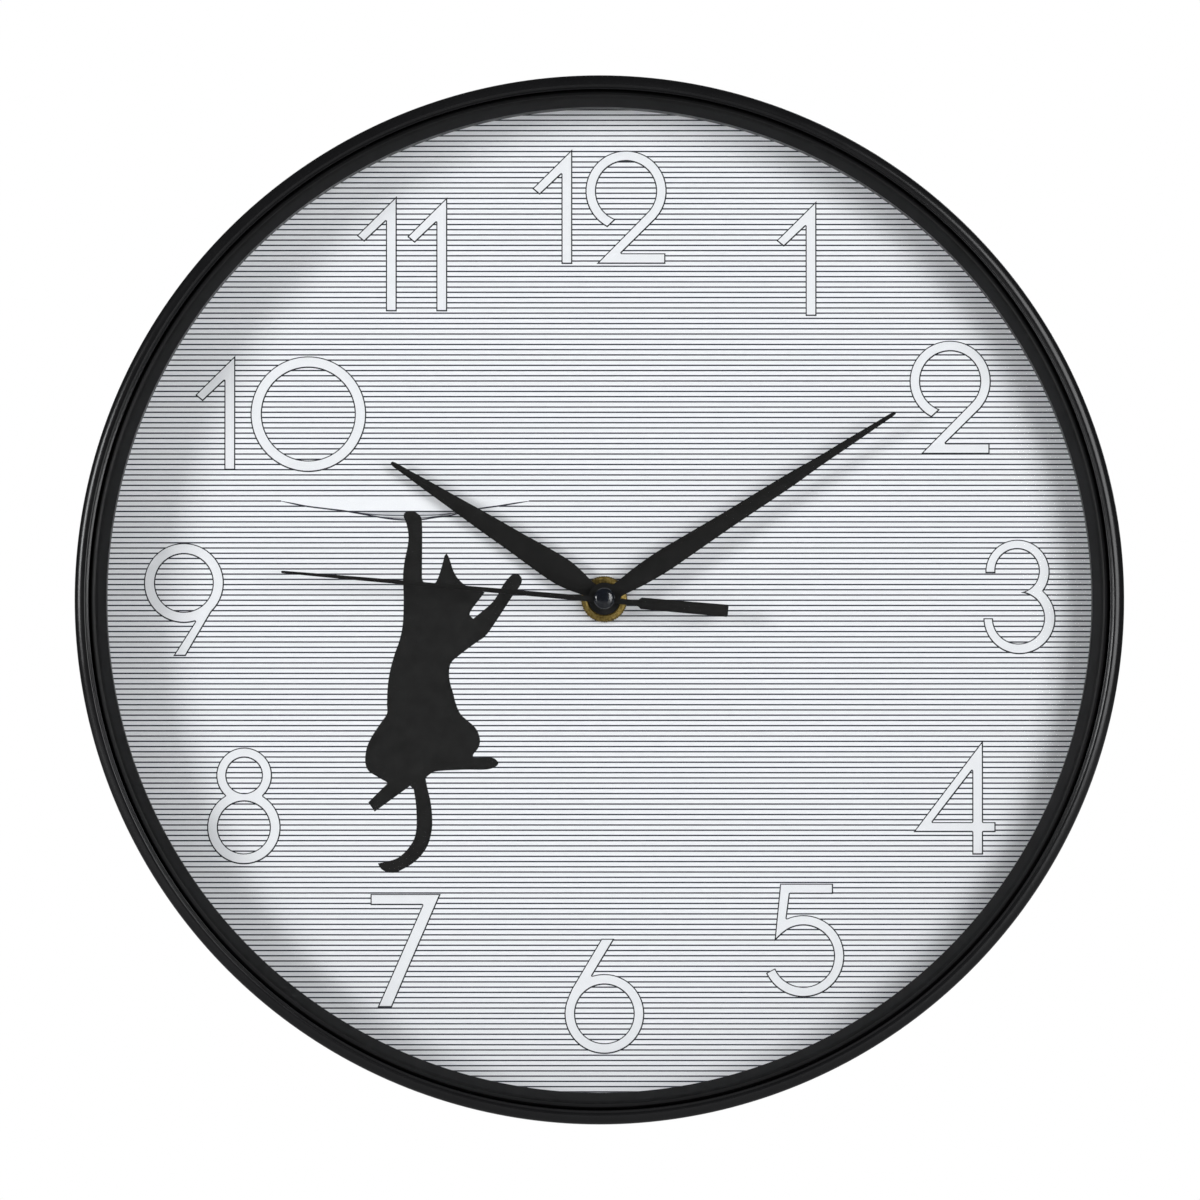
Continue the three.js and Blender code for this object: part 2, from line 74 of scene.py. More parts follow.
def surface(name, base, second, rough, metallic=0.0, coat=0.0, coat_rough=0.08, specular=0.5,
            tone_scale=60.0, tone_stretch=(1, 1, 1), rough_spread=0.05, rough_scale=180.0,
            bumps=((900.0, 0.00002, 0.35),), detail=6.0, ramp=(0.35, 0.68), aniso=0.0):
    """A principled surface whose colour drifts between two close tones, whose
    roughness varies in patches, and whose relief comes from stacked noise."""
    m = bpy.data.materials.new(name)
    m.use_nodes = True
    nt = m.node_tree
    nt.nodes.clear()
    out = nt.nodes.new("ShaderNodeOutputMaterial")
    p = nt.nodes.new("ShaderNodeBsdfPrincipled")
    nt.links.new(p.outputs[0], out.inputs[0])
    set_in(p, "Metallic", metallic)
    set_in(p, "Coat Weight", coat)
    set_in(p, "Coat Roughness", coat_rough)
    set_in(p, "Specular IOR Level", specular)
    if aniso:
        set_in(p, "Anisotropic", aniso)
    co = nt.nodes.new("ShaderNodeTexCoord")
    mp = nt.nodes.new("ShaderNodeMapping")
    mp.inputs["Scale"].default_value = tone_stretch
    nt.links.new(co.outputs["Object"], mp.inputs["Vector"])
    n1 = nt.nodes.new("ShaderNodeTexNoise")
    set_in(n1, "Scale", tone_scale)
    set_in(n1, "Detail", detail)
    nt.links.new(mp.outputs[0], n1.inputs["Vector"])
    cr = nt.nodes.new("ShaderNodeValToRGB")
    cr.color_ramp.elements[0].position, cr.color_ramp.elements[1].position = ramp
    cr.color_ramp.elements[0].color = (*base, 1)
    cr.color_ramp.elements[1].color = (*second, 1)
    nt.links.new(n1.outputs["Fac"], cr.inputs["Fac"])
    nt.links.new(cr.outputs["Color"], p.inputs["Base Color"])
    n2 = nt.nodes.new("ShaderNodeTexNoise")
    set_in(n2, "Scale", rough_scale)
    set_in(n2, "Detail", 4.0)
    nt.links.new(mp.outputs[0], n2.inputs["Vector"])
    mr = nt.nodes.new("ShaderNodeMapRange")
    set_in(mr, "From Min", 0.3)
    set_in(mr, "From Max", 0.7)
    set_in(mr, "To Min", max(0.02, rough - rough_spread))
    set_in(mr, "To Max", min(1.0, rough + rough_spread))
    nt.links.new(n2.outputs["Fac"], mr.inputs["Value"])
    nt.links.new(mr.outputs[0], p.inputs["Roughness"])
    last = None
    for scale, depth, strength in bumps:
        nb = nt.nodes.new("ShaderNodeTexNoise")
        set_in(nb, "Scale", scale)
        set_in(nb, "Detail", 3.0)
        nt.links.new(mp.outputs[0], nb.inputs["Vector"])
        b = nt.nodes.new("ShaderNodeBump")
        set_in(b, "Distance", depth)
        set_in(b, "Strength", strength)
        nt.links.new(nb.outputs["Fac"], b.inputs["Height"])
        if last is not None:
            nt.links.new(last.outputs[0], b.inputs["Normal"])
        last = b
    if last is not None:
        nt.links.new(last.outputs[0], p.inputs["Normal"])
    m["parts"] = name
    return m


def hook(material, build_extra):
    """Lets a material add nodes of its own: build_extra(tree, principled, object_coords)."""
    nt = material.node_tree
    p = next(n for n in nt.nodes if n.type == "BSDF_PRINCIPLED")
    co = next(n for n in nt.nodes if n.type == "TEX_COORD")
    build_extra(nt, p, co)
    return material


GLOSS = surface("gloss_black_plastic", (0.0048, 0.0048, 0.0052), (0.0064, 0.0064, 0.0068), 0.20, specular=0.24,
                tone_scale=35, rough_spread=0.03, rough_scale=120, bumps=((220.0, 0.00003, 0.25), (1500.0, 0.000008, 0.2)))
SATIN = surface("satin_black_plastic", (0.0040, 0.0040, 0.0042), (0.0056, 0.0056, 0.0059), 0.40, specular=0.17, tone_scale=55,
                rough_spread=0.06, rough_scale=240, bumps=((1800.0, 0.000015, 0.35), (260.0, 0.00002, 0.2)))
COVER = surface("cover_black_plastic", (0.016, 0.016, 0.017), (0.024, 0.024, 0.0255), 0.62, tone_scale=40,
                rough_spread=0.08, rough_scale=420, bumps=((2600.0, 0.00008, 0.5), (420.0, 0.00003, 0.25)))
MOVEMENT = surface("movement_black_plastic", (0.010, 0.010, 0.011), (0.017, 0.017, 0.018), 0.5, tone_scale=80,
                   rough_spread=0.07, rough_scale=520, bumps=((3200.0, 0.00005, 0.45),))
PAPER = surface("dial_paper", (0.846, 0.854, 0.876), (0.858, 0.865, 0.886), 0.66, specular=0.3, tone_scale=260,
                rough_spread=0.05, rough_scale=900, bumps=((2400.0, 0.000006, 0.2), (150.0, 0.00001, 0.12)))
FILL = surface("print_white", (0.795, 0.801, 0.824), (0.806, 0.812, 0.835), 0.62, specular=0.3, tone_scale=260,
               rough_spread=0.05, rough_scale=900, bumps=((2400.0, 0.000006, 0.2),))
INK = surface("stripe_ink", (0.027, 0.029, 0.039), (0.033, 0.035, 0.046), 0.6, specular=0.15, tone_scale=500,
              rough_spread=0.04, rough_scale=1200, bumps=((2600.0, 0.000004, 0.15),))
OUTLINE = surface("numeral_ink", (0.012, 0.013, 0.016), (0.022, 0.023, 0.028), 0.55, specular=0.2, tone_scale=650,
                  rough_spread=0.08, rough_scale=1200, bumps=((2600.0, 0.000008, 0.3),))
CAT_INK = surface("figure_ink", (0.0096, 0.0094, 0.0092), (0.0138, 0.0136, 0.0134), 0.55, specular=0.10, tone_scale=240,
                  rough_spread=0.08, rough_scale=900, bumps=((2200.0, 0.00001, 0.3),))
GREY_INK = surface("fold_grey_ink", (0.50, 0.51, 0.53), (0.58, 0.59, 0.61), 0.6, specular=0.35, tone_scale=500,
                   rough_spread=0.06, rough_scale=900, bumps=((2400.0, 0.00001, 0.2),))
BOARD = surface("hardboard", (0.19, 0.115, 0.062), (0.33, 0.21, 0.12), 0.85, specular=0.2, tone_scale=900, tone_stretch=(1, 1, 0.35),
                rough_spread=0.08, rough_scale=500, bumps=((1600.0, 0.00006, 0.6),))
STEEL = surface("zinc_steel", (0.40, 0.41, 0.42), (0.56, 0.57, 0.58), 0.33, metallic=1.0, tone_scale=260, tone_stretch=(1, 1, 6),
                rough_spread=0.10, rough_scale=420, bumps=((700.0, 0.00002, 0.35), (4200.0, 0.00001, 0.25)))
SPRING = surface("nickel_spring_steel", (0.52, 0.51, 0.49), (0.66, 0.65, 0.62), 0.22, metallic=1.0, tone_scale=300, tone_stretch=(1, 5, 1),
                 rough_spread=0.08, rough_scale=600, bumps=((1200.0, 0.00001, 0.3),))
BRASS = surface("turned_brass", (0.095, 0.066, 0.017), (0.25, 0.178, 0.056), 0.42, metallic=1.0, tone_scale=1500, ramp=(0.36, 0.62),
                rough_spread=0.12, rough_scale=1300, bumps=((1700.0, 0.00004, 0.6),))
RUBBER = surface("rubber", (0.010, 0.010, 0.010), (0.018, 0.018, 0.018), 0.85, tone_scale=300, rough_scale=700,
                 bumps=((1800.0, 0.00005, 0.5),))
NATURAL = surface("natural_acetal", (0.66, 0.63, 0.54), (0.76, 0.74, 0.65), 0.42, coat=0.05, tone_scale=180,
                  rough_spread=0.08, rough_scale=600, bumps=((1500.0, 0.00002, 0.3),))
COPPER = surface("copper_winding", (0.30, 0.085, 0.025), (0.50, 0.17, 0.055), 0.3, metallic=0.9, coat=0.4, tone_scale=900, tone_stretch=(6, 1, 1),
                 rough_spread=0.08, rough_scale=900, bumps=((2600.0, 0.00006, 0.6),))
GREEN = surface("solder_mask", (0.014, 0.075, 0.03), (0.03, 0.14, 0.06), 0.3, coat=0.3, tone_scale=420, tone_stretch=(1, 1, 3),
                rough_spread=0.06, rough_scale=800, bumps=((900.0, 0.00003, 0.5),))
RESIN = surface("potting_resin", (0.008, 0.008, 0.008), (0.014, 0.014, 0.014), 0.28, coat=0.2, tone_scale=300,
                rough_spread=0.05, rough_scale=500, bumps=((700.0, 0.00004, 0.4),))
MAGNET = surface("sintered_magnet", (0.07, 0.07, 0.08), (0.13, 0.13, 0.14), 0.5, metallic=0.8, tone_scale=1200,
                 rough_spread=0.1, rough_scale=1100, bumps=((2600.0, 0.00004, 0.6),))
HAND = surface("hand_lacquer", (0.0066, 0.0064, 0.0062), (0.0088, 0.0085, 0.0083), 0.55, specular=0.10,
               tone_scale=300, rough_spread=0.07, rough_scale=700, bumps=((1900.0, 0.000015, 0.4), (300.0, 0.00001, 0.2)))
CAP = surface("cap_gloss", (0.0030, 0.0040, 0.0072), (0.0042, 0.0054, 0.0092), 0.13, specular=0.45, tone_scale=300,
              rough_spread=0.03, rough_scale=700, bumps=((900.0, 0.00001, 0.25),))
JACKET = surface("battery_foil", (0.022, 0.075, 0.20), (0.035, 0.11, 0.27), 0.26, metallic=0.55, coat=0.5, coat_rough=0.06, tone_scale=500,
                 tone_stretch=(0.3, 1, 1), rough_spread=0.05, rough_scale=700, bumps=((900.0, 0.00001, 0.3),))
SILVER = surface("battery_silver_foil", (0.42, 0.43, 0.44), (0.56, 0.57, 0.58), 0.28, metallic=0.8, coat=0.4, coat_rough=0.08, tone_scale=500,
                 tone_stretch=(0.3, 1, 1), rough_spread=0.06, rough_scale=700, bumps=((900.0, 0.00001, 0.3),))


def clear_pane(name):
    """Clear glass that lets lamps through and mirrors a little, more at a glance."""
    m = bpy.data.materials.new(name)
    m.use_nodes = True
    nt = m.node_tree
    nt.nodes.clear()
    out = nt.nodes.new("ShaderNodeOutputMaterial")
    mix = nt.nodes.new("ShaderNodeMixShader")
    clear = nt.nodes.new("ShaderNodeBsdfTransparent")
    clear.inputs[0].default_value = (0.995, 0.998, 0.997, 1)
    gloss = nt.nodes.new("ShaderNodeBsdfPrincipled")
    set_in(gloss, "Base Color", (0.010, 0.013, 0.012, 1))
    set_in(gloss, "Metallic", 0.0)
    co = nt.nodes.new("ShaderNodeTexCoord")
    ns = nt.nodes.new("ShaderNodeTexNoise")
    set_in(ns, "Scale", 24.0)
    set_in(ns, "Detail", 4.0)
    nt.links.new(co.outputs["Object"], ns.inputs["Vector"])
    mr = nt.nodes.new("ShaderNodeMapRange")
    set_in(mr, "From Min", 0.35)
    set_in(mr, "From Max", 0.75)
    set_in(mr, "To Min", 0.02)
    set_in(mr, "To Max", 0.055)
    nt.links.new(ns.outputs["Fac"], mr.inputs["Value"])
    nt.links.new(mr.outputs[0], gloss.inputs["Roughness"])
    lw = nt.nodes.new("ShaderNodeLayerWeight")
    set_in(lw, "Blend", 0.5)
    steep = nt.nodes.new("ShaderNodeMath")
    steep.operation = "POWER"
    steep.inputs[1].default_value = 5.0
    nt.links.new(lw.outputs["Facing"], steep.inputs[0])
    share = nt.nodes.new("ShaderNodeMath")
    share.operation = "MULTIPLY_ADD"
    share.inputs[1].default_value = 0.9
    share.inputs[2].default_value = 0.012
    nt.links.new(steep.outputs[0], share.inputs[0])
    nt.links.new(share.outputs[0], mix.inputs[0])
    nt.links.new(clear.outputs[0], mix.inputs[1])
    nt.links.new(gloss.outputs[0], mix.inputs[2])
    nt.links.new(mix.outputs[0], out.inputs[0])
    return m


LENS = clear_pane("clear_lens")


# ------------------------------------------------------------------ meshes
def to_row(v):
    return ((v[0]) / 1000 + CX_M, v[1] / 1000, (v[2]) / 1000 + CZ_M)


def mesh_of(name, verts, faces, crease=32.0, weld=True):
    me = bpy.data.meshes.new(name)
    me.from_pydata([to_row(v) for v in verts], [], faces)
    me.validate()
    bm = bmesh.new()
    bm.from_mesh(me)
    if weld:
        bmesh.ops.remove_doubles(bm, verts=bm.verts, dist=2e-7)
    bmesh.ops.dissolve_degenerate(bm, dist=1e-8, edges=bm.edges)
    bmesh.ops.recalc_face_normals(bm, faces=bm.faces)
    bm.to_mesh(me)
    bm.free()
    me.shade_smooth()
    me.set_sharp_from_angle(angle=math.radians(crease))
    return me


def piece(name, me, material, body, replaces=()):
    o = bpy.data.objects.new(name, me)
    bpy.context.scene.collection.objects.link(o)
    me.materials.clear()
    me.materials.append(material)
    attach(o, body)
    if replaces:
        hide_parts(*replaces)
    return o


def bevel(o, width_mm, segments=2, angle=40.0, crease=32.0):
    """Breaks the sharp edges of a finished piece."""
    b = o.modifiers.new("edge", "BEVEL")
    b.width = width_mm / 1000
    b.segments = segments
    b.limit_method = "ANGLE"
    b.angle_limit = math.radians(angle)
    b.use_clamp_overlap = True
    b.harden_normals = False
    return bake(o, crease)


def bake(o, crease=32.0):
    """Applies the modifiers of o."""
    bpy.context.view_layer.update()
    dg = bpy.context.evaluated_depsgraph_get()
    me = bpy.data.meshes.new_from_object(o.evaluated_get(dg), depsgraph=dg)
    old = o.data
    o.modifiers.clear()
    o.data = me
    if old.users == 0:
        bpy.data.meshes.remove(old)
    me.shade_smooth()
    me.set_sharp_from_angle(angle=math.radians(crease))
    return o


def carve(o, tools, operation="DIFFERENCE", crease=32.0):
    """Boolean of o with a list of (verts, faces) solids."""
    made = []
    for i, (v, f) in enumerate(tools):
        t = bpy.data.objects.new(f"tool_{i}", mesh_of(f"tool_{i}", v, f))
        bpy.context.scene.collection.objects.link(t)
        made.append(t)
        md = o.modifiers.new(f"b{i}", "BOOLEAN")
        md.operation = operation
        md.object = t
        md.solver = "MANIFOLD"
    bake(o, crease)
    for t in made:
        me = t.data
        bpy.data.objects.remove(t)
        bpy.data.meshes.remove(me)
    bm = bmesh.new()
    bm.from_mesh(o.data)
    bmesh.ops.remove_doubles(bm, verts=bm.verts, dist=2e-7)
    bmesh.ops.dissolve_degenerate(bm, dist=1e-8, edges=bm.edges)
    bm.to_mesh(o.data)
    bm.free()
    o.data.shade_smooth()
    o.data.set_sharp_from_angle(angle=math.radians(crease))
    return o


def lathe(profile, n=256, x=0.0, z=0.0, scallop=None):
    """Turns a closed (r, y) profile about the y axis through x, z."""
    verts, rings = [], []
    for i, (r, y) in enumerate(profile):
        if r < 1e-6:
            rings.append([len(verts)] * n)
            verts.append((x, y, z))
        else:
            row = []
            for j in range(n):
                a = 2 * math.pi * j / n
                rr = r + (scallop(i, a) if scallop else 0.0)
                row.append(len(verts))
                verts.append((x + rr * math.sin(a), y, z + rr * math.cos(a)))
            rings.append(row)
    faces = []
    m = len(profile)
    for i in range(m):
        a, b = rings[i], rings[(i + 1) % m]
        for j in range(n):
            k = (j + 1) % n
            q = []
            for v in (a[j], a[k], b[k], b[j]):
                if v not in q:
                    q.append(v)
            if len(q) >= 3:
                faces.append(q)
    return verts, faces


def fillet(points, radius, steps=4, closed=True):
    """Rounds the corners of a polygon; radius is one number or one per point."""
    n = len(points)
    out = []
    for i in range(n):
        p = np.array(points[i], float)
        r = radius[i] if hasattr(radius, "__len__") else radius
        if (not closed and i in (0, n - 1)) or r <= 0:
            out.append(tuple(p))
            continue
        a, b = np.array(points[i - 1], float), np.array(points[(i + 1) % n], float)
        u, v = a - p, b - p
        lu, lv = np.linalg.norm(u), np.linalg.norm(v)
        u, v = u / lu, v / lv
        c = float(np.clip(u @ v, -1, 1))
        half = math.acos(c) / 2
        if half > math.radians(89.5):
            out.append(tuple(p))
            continue
        t = min(r / math.tan(half), 0.48 * lu, 0.48 * lv)
        rr = t * math.tan(half)
        centre = p + (u + v) / np.linalg.norm(u + v) * (rr / math.sin(half))
        s, e = p + u * t - centre, p + v * t - centre
        a0, a1 = math.atan2(s[1], s[0]), math.atan2(e[1], e[0])
        d = (a1 - a0 + math.pi) % (2 * math.pi) - math.pi
        for k in range(steps + 1):
            q = a0 + d * k / steps
            out.append((centre[0] + rr * math.cos(q), centre[1] + rr * math.sin(q)))
    return out


def spline(points, steps=6, closed=False, corner=()):
    """Centripetal Catmull-Rom through points; indexes in corner stay sharp."""
    p = [np.array(q, float) for q in points]
    n = len(p)
    out = []
    last = n if closed else n - 1
    for i in range(last):
        p1, p2 = p[i], p[(i + 1) % n]
        p0 = p[i - 1] if (closed or i > 0) else 2 * p1 - p2
        p3 = p[(i + 2) % n] if (closed or i + 2 < n) else 2 * p2 - p1
        if i in corner:
            p0 = 2 * p1 - p2
        if (i + 1) % n in corner:
            p3 = 2 * p2 - p1
        t0 = 0.0
        t1 = t0 + max(1e-6, np.linalg.norm(p1 - p0) ** 0.5)
        t2 = t1 + max(1e-6, np.linalg.norm(p2 - p1) ** 0.5)
        t3 = t2 + max(1e-6, np.linalg.norm(p3 - p2) ** 0.5)
        for k in range(steps):
            t = t1 + (t2 - t1) * k / steps
            a1 = (t1 - t) / (t1 - t0) * p0 + (t - t0) / (t1 - t0) * p1
            a2 = (t2 - t) / (t2 - t1) * p1 + (t - t1) / (t2 - t1) * p2
            a3 = (t3 - t) / (t3 - t2) * p2 + (t - t2) / (t3 - t2) * p3
            b1 = (t2 - t) / (t2 - t0) * a1 + (t - t0) / (t2 - t0) * a2
            b2 = (t3 - t) / (t3 - t1) * a2 + (t - t1) / (t3 - t1) * a3
            c = (t2 - t) / (t2 - t1) * b1 + (t - t1) / (t2 - t1) * b2
            out.append((float(c[0]), float(c[1])))
    if not closed:
        out.append(tuple(p[-1]))
    return out


def circle(x, z, r, n=64):
    return [(x + r * math.cos(2 * math.pi * i / n), z + r * math.sin(2 * math.pi * i / n)) for i in range(n)]


def round_rect(x0, x1, z0, z1, r, steps=6):
    return fillet([(x0, z0), (x1, z0), (x1, z1), (x0, z1)], r, steps)


def slab(loops, y0, y1):
    """A closed plate between y0 and y1; loops are one outline and its holes,
    or several such groups."""
    groups = loops if isinstance(loops[0][0], list) else [loops]
    verts, faces = [], []
    for group in groups:
        start = len(verts)
        flat = []
        for loop in group:
            flat += list(loop)
        tris = tessellate_polygon([[Vector((x, z, 0)) for x, z in loop] for loop in group])
        n = len(flat)
        verts += [(x, y0, z) for x, z in flat] + [(x, y1, z) for x, z in flat]
        for a, b, c in tris:
            faces.append((start + a, start + b, start + c))
            faces.append((start + n + c, start + n + b, start + n + a))
        k = 0
        for loop in group:
            m = len(loop)
            for i in range(m):
                a, b = start + k + i, start + k + (i + 1) % m
                faces.append((a, b, b + n, a + n))
            k += m
    return verts, faces


def box_solid(x0, x1, y0, y1, z0, z1, base=0):
    v = [(x, y, z) for x in (x0, x1) for y in (y0, y1) for z in (z0, z1)]
    f = [(0, 1, 3, 2), (4, 6, 7, 5), (0, 4, 5, 1), (2, 3, 7, 6), (0, 2, 6, 4), (1, 5, 7, 3)]
    return v, [tuple(base + i for i in q) for q in f]


def joined(parts):
    verts, faces = [], []
    for v, f in parts:
        k = len(verts)
        verts += list(v)
        faces += [tuple(k + i for i in q) for q in f]
    return verts, faces


# ------------------------------------------------------------------ outlines from distance fields
def d_poly(pts, X, Z):
    """Signed distance to a polygon, negative inside."""
    p = np.array(pts, float)
    d = np.full(X.shape, 1e18)
    inside = np.zeros(X.shape, bool)
    for i in range(len(p)):
        a, b = p[i - 1], p[i]
        e = b - a
        wx, wz = X - a[0], Z - a[1]
        t = np.clip((wx * e[0] + wz * e[1]) / max(1e-12, e @ e), 0, 1)
        d = np.minimum(d, (wx - e[0] * t) ** 2 + (wz - e[1] * t) ** 2)
        cross = (a[1] > Z) != (b[1] > Z)
        if e[1] != 0:
            inside ^= cross & (X < a[0] + (Z - a[1]) * e[0] / e[1])
    d = np.sqrt(d)
    return np.where(inside, -d, d)


def d_disc(x, z, r, X, Z):
    return np.hypot(X - x, Z - z) - r


def d_ring(x, z, outer, inner, X, Z):
    q = np.hypot(X - x, Z - z)
    return np.maximum(q - outer, inner - q)


def contours(F, xs, zs, level=0.0):
    """Closed loops where the sampled field crosses level."""
    G = F - level
    G = np.where(np.abs(G) < 1e-9, 1e-9, G)
    s = G < 0
    nx, nz = len(xs), len(zs)
    cells = np.argwhere((s[:-1, :-1] != s[1:, :-1]) | (s[:-1, :-1] != s[:-1, 1:]) | (s[:-1, :-1] != s[1:, 1:]))
    point, link = {}, {}

    def cut(i0, j0, i1, j1):
        key = (i0, j0, i1, j1)
        if key not in point:
            a, b = G[i0, j0], G[i1, j1]
            t = a / (a - b)
            point[key] = (xs[i0] + (xs[i1] - xs[i0]) * t, zs[j0] + (zs[j1] - zs[j0]) * t)
        return key

    def join(a, b):
        link.setdefault(a, []).append(b)
        link.setdefault(b, []).append(a)

    for i, j in cells:
        c = [s[i, j], s[i + 1, j], s[i + 1, j + 1], s[i, j + 1]]
        e = []
        if c[0] != c[1]:
            e.append(cut(i, j, i + 1, j))
        if c[1] != c[2]:
            e.append(cut(i + 1, j, i + 1, j + 1))
        if c[2] != c[3]:
            e.append(cut(i, j + 1, i + 1, j + 1))
        if c[3] != c[0]:
            e.append(cut(i, j, i, j + 1))
        if len(e) == 2:
            join(e[0], e[1])
        elif len(e) == 4:
            join(e[0], e[1])
            join(e[2], e[3])
    loops, seen = [], set()
    for k in sorted(link):
        if k in seen:
            continue
        loop, prev, cur = [], None, k
        while cur not in seen:
            seen.add(cur)
            loop.append(point[cur])
            nxt = [q for q in link[cur] if q != prev and q not in seen]
            if not nxt:
                break
            prev, cur = cur, nxt[0]
        if len(loop) > 6:
            loops.append(loop)
    return loops


def thin(loop, tol):
    """Drops points of a closed loop that lie within tol of their neighbours' line."""
    p = np.array(loop, float)
    n = len(p)
    far = int(np.argmax(np.hypot(*(p - p[0]).T)))
    keep = {0, far}
    stack = [(0, far), (far, n)]
    while stack:
        a, b = stack.pop()
        if b - a < 2:
            continue
        s, e = p[a], p[b % n]
        d = e - s
        L = np.hypot(*d)
        seg = p[a + 1:b]
        dist = np.abs((seg[:, 0] - s[0]) * d[1] - (seg[:, 1] - s[1]) * d[0]) / L if L > 1e-9 else np.hypot(*(seg - s).T)
        k = int(np.argmax(dist))
        if dist[k] > tol:
            keep.add(a + 1 + k)
            stack += [(a, a + 1 + k), (a + 1 + k, b)]
    return [tuple(map(float, p[i])) for i in sorted(keep)]


def area(loop):
    p = np.array(loop)
    return float(np.sum(p[:, 0] * np.roll(p[:, 1], -1) - np.roll(p[:, 0], -1) * p[:, 1])) / 2


def within(pt, loop):
    x, z = pt
    c = False
    for i in range(len(loop)):
        (ax, az), (bx, bz) = loop[i - 1], loop[i]
        if (az > z) != (bz > z) and x < ax + (z - az) * (bx - ax) / (bz - az):
            c = not c
    return c


def grouped(loops):
    """Outer loops each with the holes that lie in them."""
    loops = [l for l in loops if abs(area(l)) > 0.02]
    loops.sort(key=lambda l: -abs(area(l)))
    groups = []
    for l in loops:
        for g in groups:
            if within(l[0], g[0]):
                g.append(l)
                break
        else:
            groups.append([l])
    return groups


def shape_groups(field, x0, x1, z0, z1, step=0.1, inset=0.0, tol=0.012):
    """Groups of loops of field(X, Z) < 0, and if inset is given also those of
    the same shape drawn in by that distance."""
    xs = np.arange(x0, x1 + step, step)
    zs = np.arange(z0, z1 + step, step)
    X, Z = np.meshgrid(xs, zs, indexing="ij")
    F = field(X, Z)
    outer = grouped([thin(l, tol) for l in contours(F, xs, zs)])
    if not inset:
        return outer
    near = (F < 0.3) & (F > -inset - 1.2)
    D = np.where(F < 0, -9.0, 9.0)
    Xn, Zn = X[near], Z[near]
    best = np.full(Xn.shape, 1e18)
    for g in outer:
        for loop in g:
            p = np.array(loop)
            q = np.roll(p, 1, axis=0)
            for a, b in zip(q, p):
                e = b - a
                wx, wz = Xn - a[0], Zn - a[1]
                t = np.clip((wx * e[0] + wz * e[1]) / max(1e-12, e @ e), 0, 1)
                best = np.minimum(best, (wx - e[0] * t) ** 2 + (wz - e[1] * t) ** 2)
    D[near] = np.where(F[near] < 0, -1, 1) * np.sqrt(best)
    inner = grouped([thin(l, tol) for l in contours(D, xs, zs, -inset)])
    return outer, inner


# ------------------------------------------------------------------ case
LENS_F, LENS_B = ybox("lens")
SHEET_F, SHEET_B = ybox("dial_sheet")
BOARD_F, BOARD_B = ybox("dial_board")
COVER_F, COVER_B = ybox("rear_cover")
CASE_F, CASE_B = ybox("case_ring")

# outer bead of the case, its groove against the inner bezel, and the tapered side
bead = spline([(145.85, -39.6), (145.87, -40.3), (145.95, -40.56), (146.1, -40.64), (146.25, -40.6), (146.5, -40.47), (146.65, -40.46),
               (146.85, -40.58), (147.05, -40.68), (147.3, -40.72), (147.7, -40.697), (148.15, -40.615), (148.6, -40.475), (149.0, -40.29),
               (149.4, -40.03), (149.7, -39.7), (149.88, -39.36), (149.97, -38.9), (150.0, -38.2), (149.99, -37.0), (149.9, -34.8)], 4)
case_profile = bead + [(149.0 + 0.9 * (1 - t), -34.8 + 5.6 * t) for t in (0.5, 1.0)] + [(149.0 - 1.4 * t, -29.2 + 27.4 * t) for t in (0.25, 0.5, 0.75, 1.0)] + \
    fillet([(147.6, -1.8), (146.9, 0.0), (144.9, 0.0), (144.9, -1.0)], [0, 0.7, 0.35, 0], 4, closed=False)[1:] + \
    fillet([(144.9, -1.0), (144.9, -15.7), (138.5, -15.7), (138.5, -17.7), (146.0, -17.7)], [0, 0.5, 0.3, 0.3, 0], 3, closed=False)[1:]
case = piece("case_ring_shell", mesh_of("case_ring_shell", *lathe(case_profile, 320)), GLOSS, "case", ("case_ring",))
bosses = []
for k in range(6):
    a = math.radians(30 + 60 * k)
    bx, bz = 141.2 * math.sin(a), 141.2 * math.cos(a)
    bosses.append(lathe(fillet([(1.4, -16.6), (3.45, -16.6), (3.3, -6.8), (1.4, -6.8)], [0, 0, 0.3, 0.2], 3), 40, bx, bz))
carve(case, bosses, "UNION", 28)

bezel_profile = fillet([(141.0, -36.3), (141.0, -37.0), (143.2, -40.35), (144.05, -41.53), (144.95, -40.95), (145.45, -39.2), (145.7, -38.2), (145.7, -36.3)],
                       [0, 0.35, 0.8, 0.42, 0.5, 0.5, 0.3, 0], 6)
piece("inner_bezel_ring", mesh_of("inner_bezel_ring", *lathe(bezel_profile, 320)), SATIN, "case", ("inner_bezel",))

piece("lens_pane", mesh_of("lens_pane", *lathe(fillet([(0, LENS_F), (145.7, LENS_F), (145.7, LENS_B), (0, LENS_B)], [0, 0.3, 0.3, 0], 3), 256)),
      LENS, "case", ("lens",))

SP_F, SP_B = ybox("spacer_ring")
spacer = fillet([(141.6, SP_F), (145.7, SP_F), (145.7, SP_B), (141.6, SP_B)], 0.35, 3)
piece("spacer_band", mesh_of("spacer_band", *lathe(spacer, 320)), SATIN, "case", ("spacer_ring",))

piece("dial_paper_sheet", mesh_of("dial_paper_sheet", *slab([circle(0, 0, 145.5, 320), circle(AX, AZ, 5.1, 72)], SHEET_F, SHEET_B)),
      PAPER, "case", ("dial_sheet",))
board = piece("dial_backing_board", mesh_of("dial_backing_board", *slab([circle(0, 0, 145.7, 256), circle(AX, AZ, 5.1, 72)], BOARD_F, BOARD_B)),
              BOARD, "case", ("dial_board",))
bevel(board, 0.18, 2, 50)

# ------------------------------------------------------------------ the print
Y_BACK = SHEET_F + 0.01
PITCH, Z_REF, HALF_LINE = 1.50428, 84.36, 0.198
R_SHEET = 145.4


def chord(z, r):
    return math.sqrt(max(0.0, r * r - z * z))


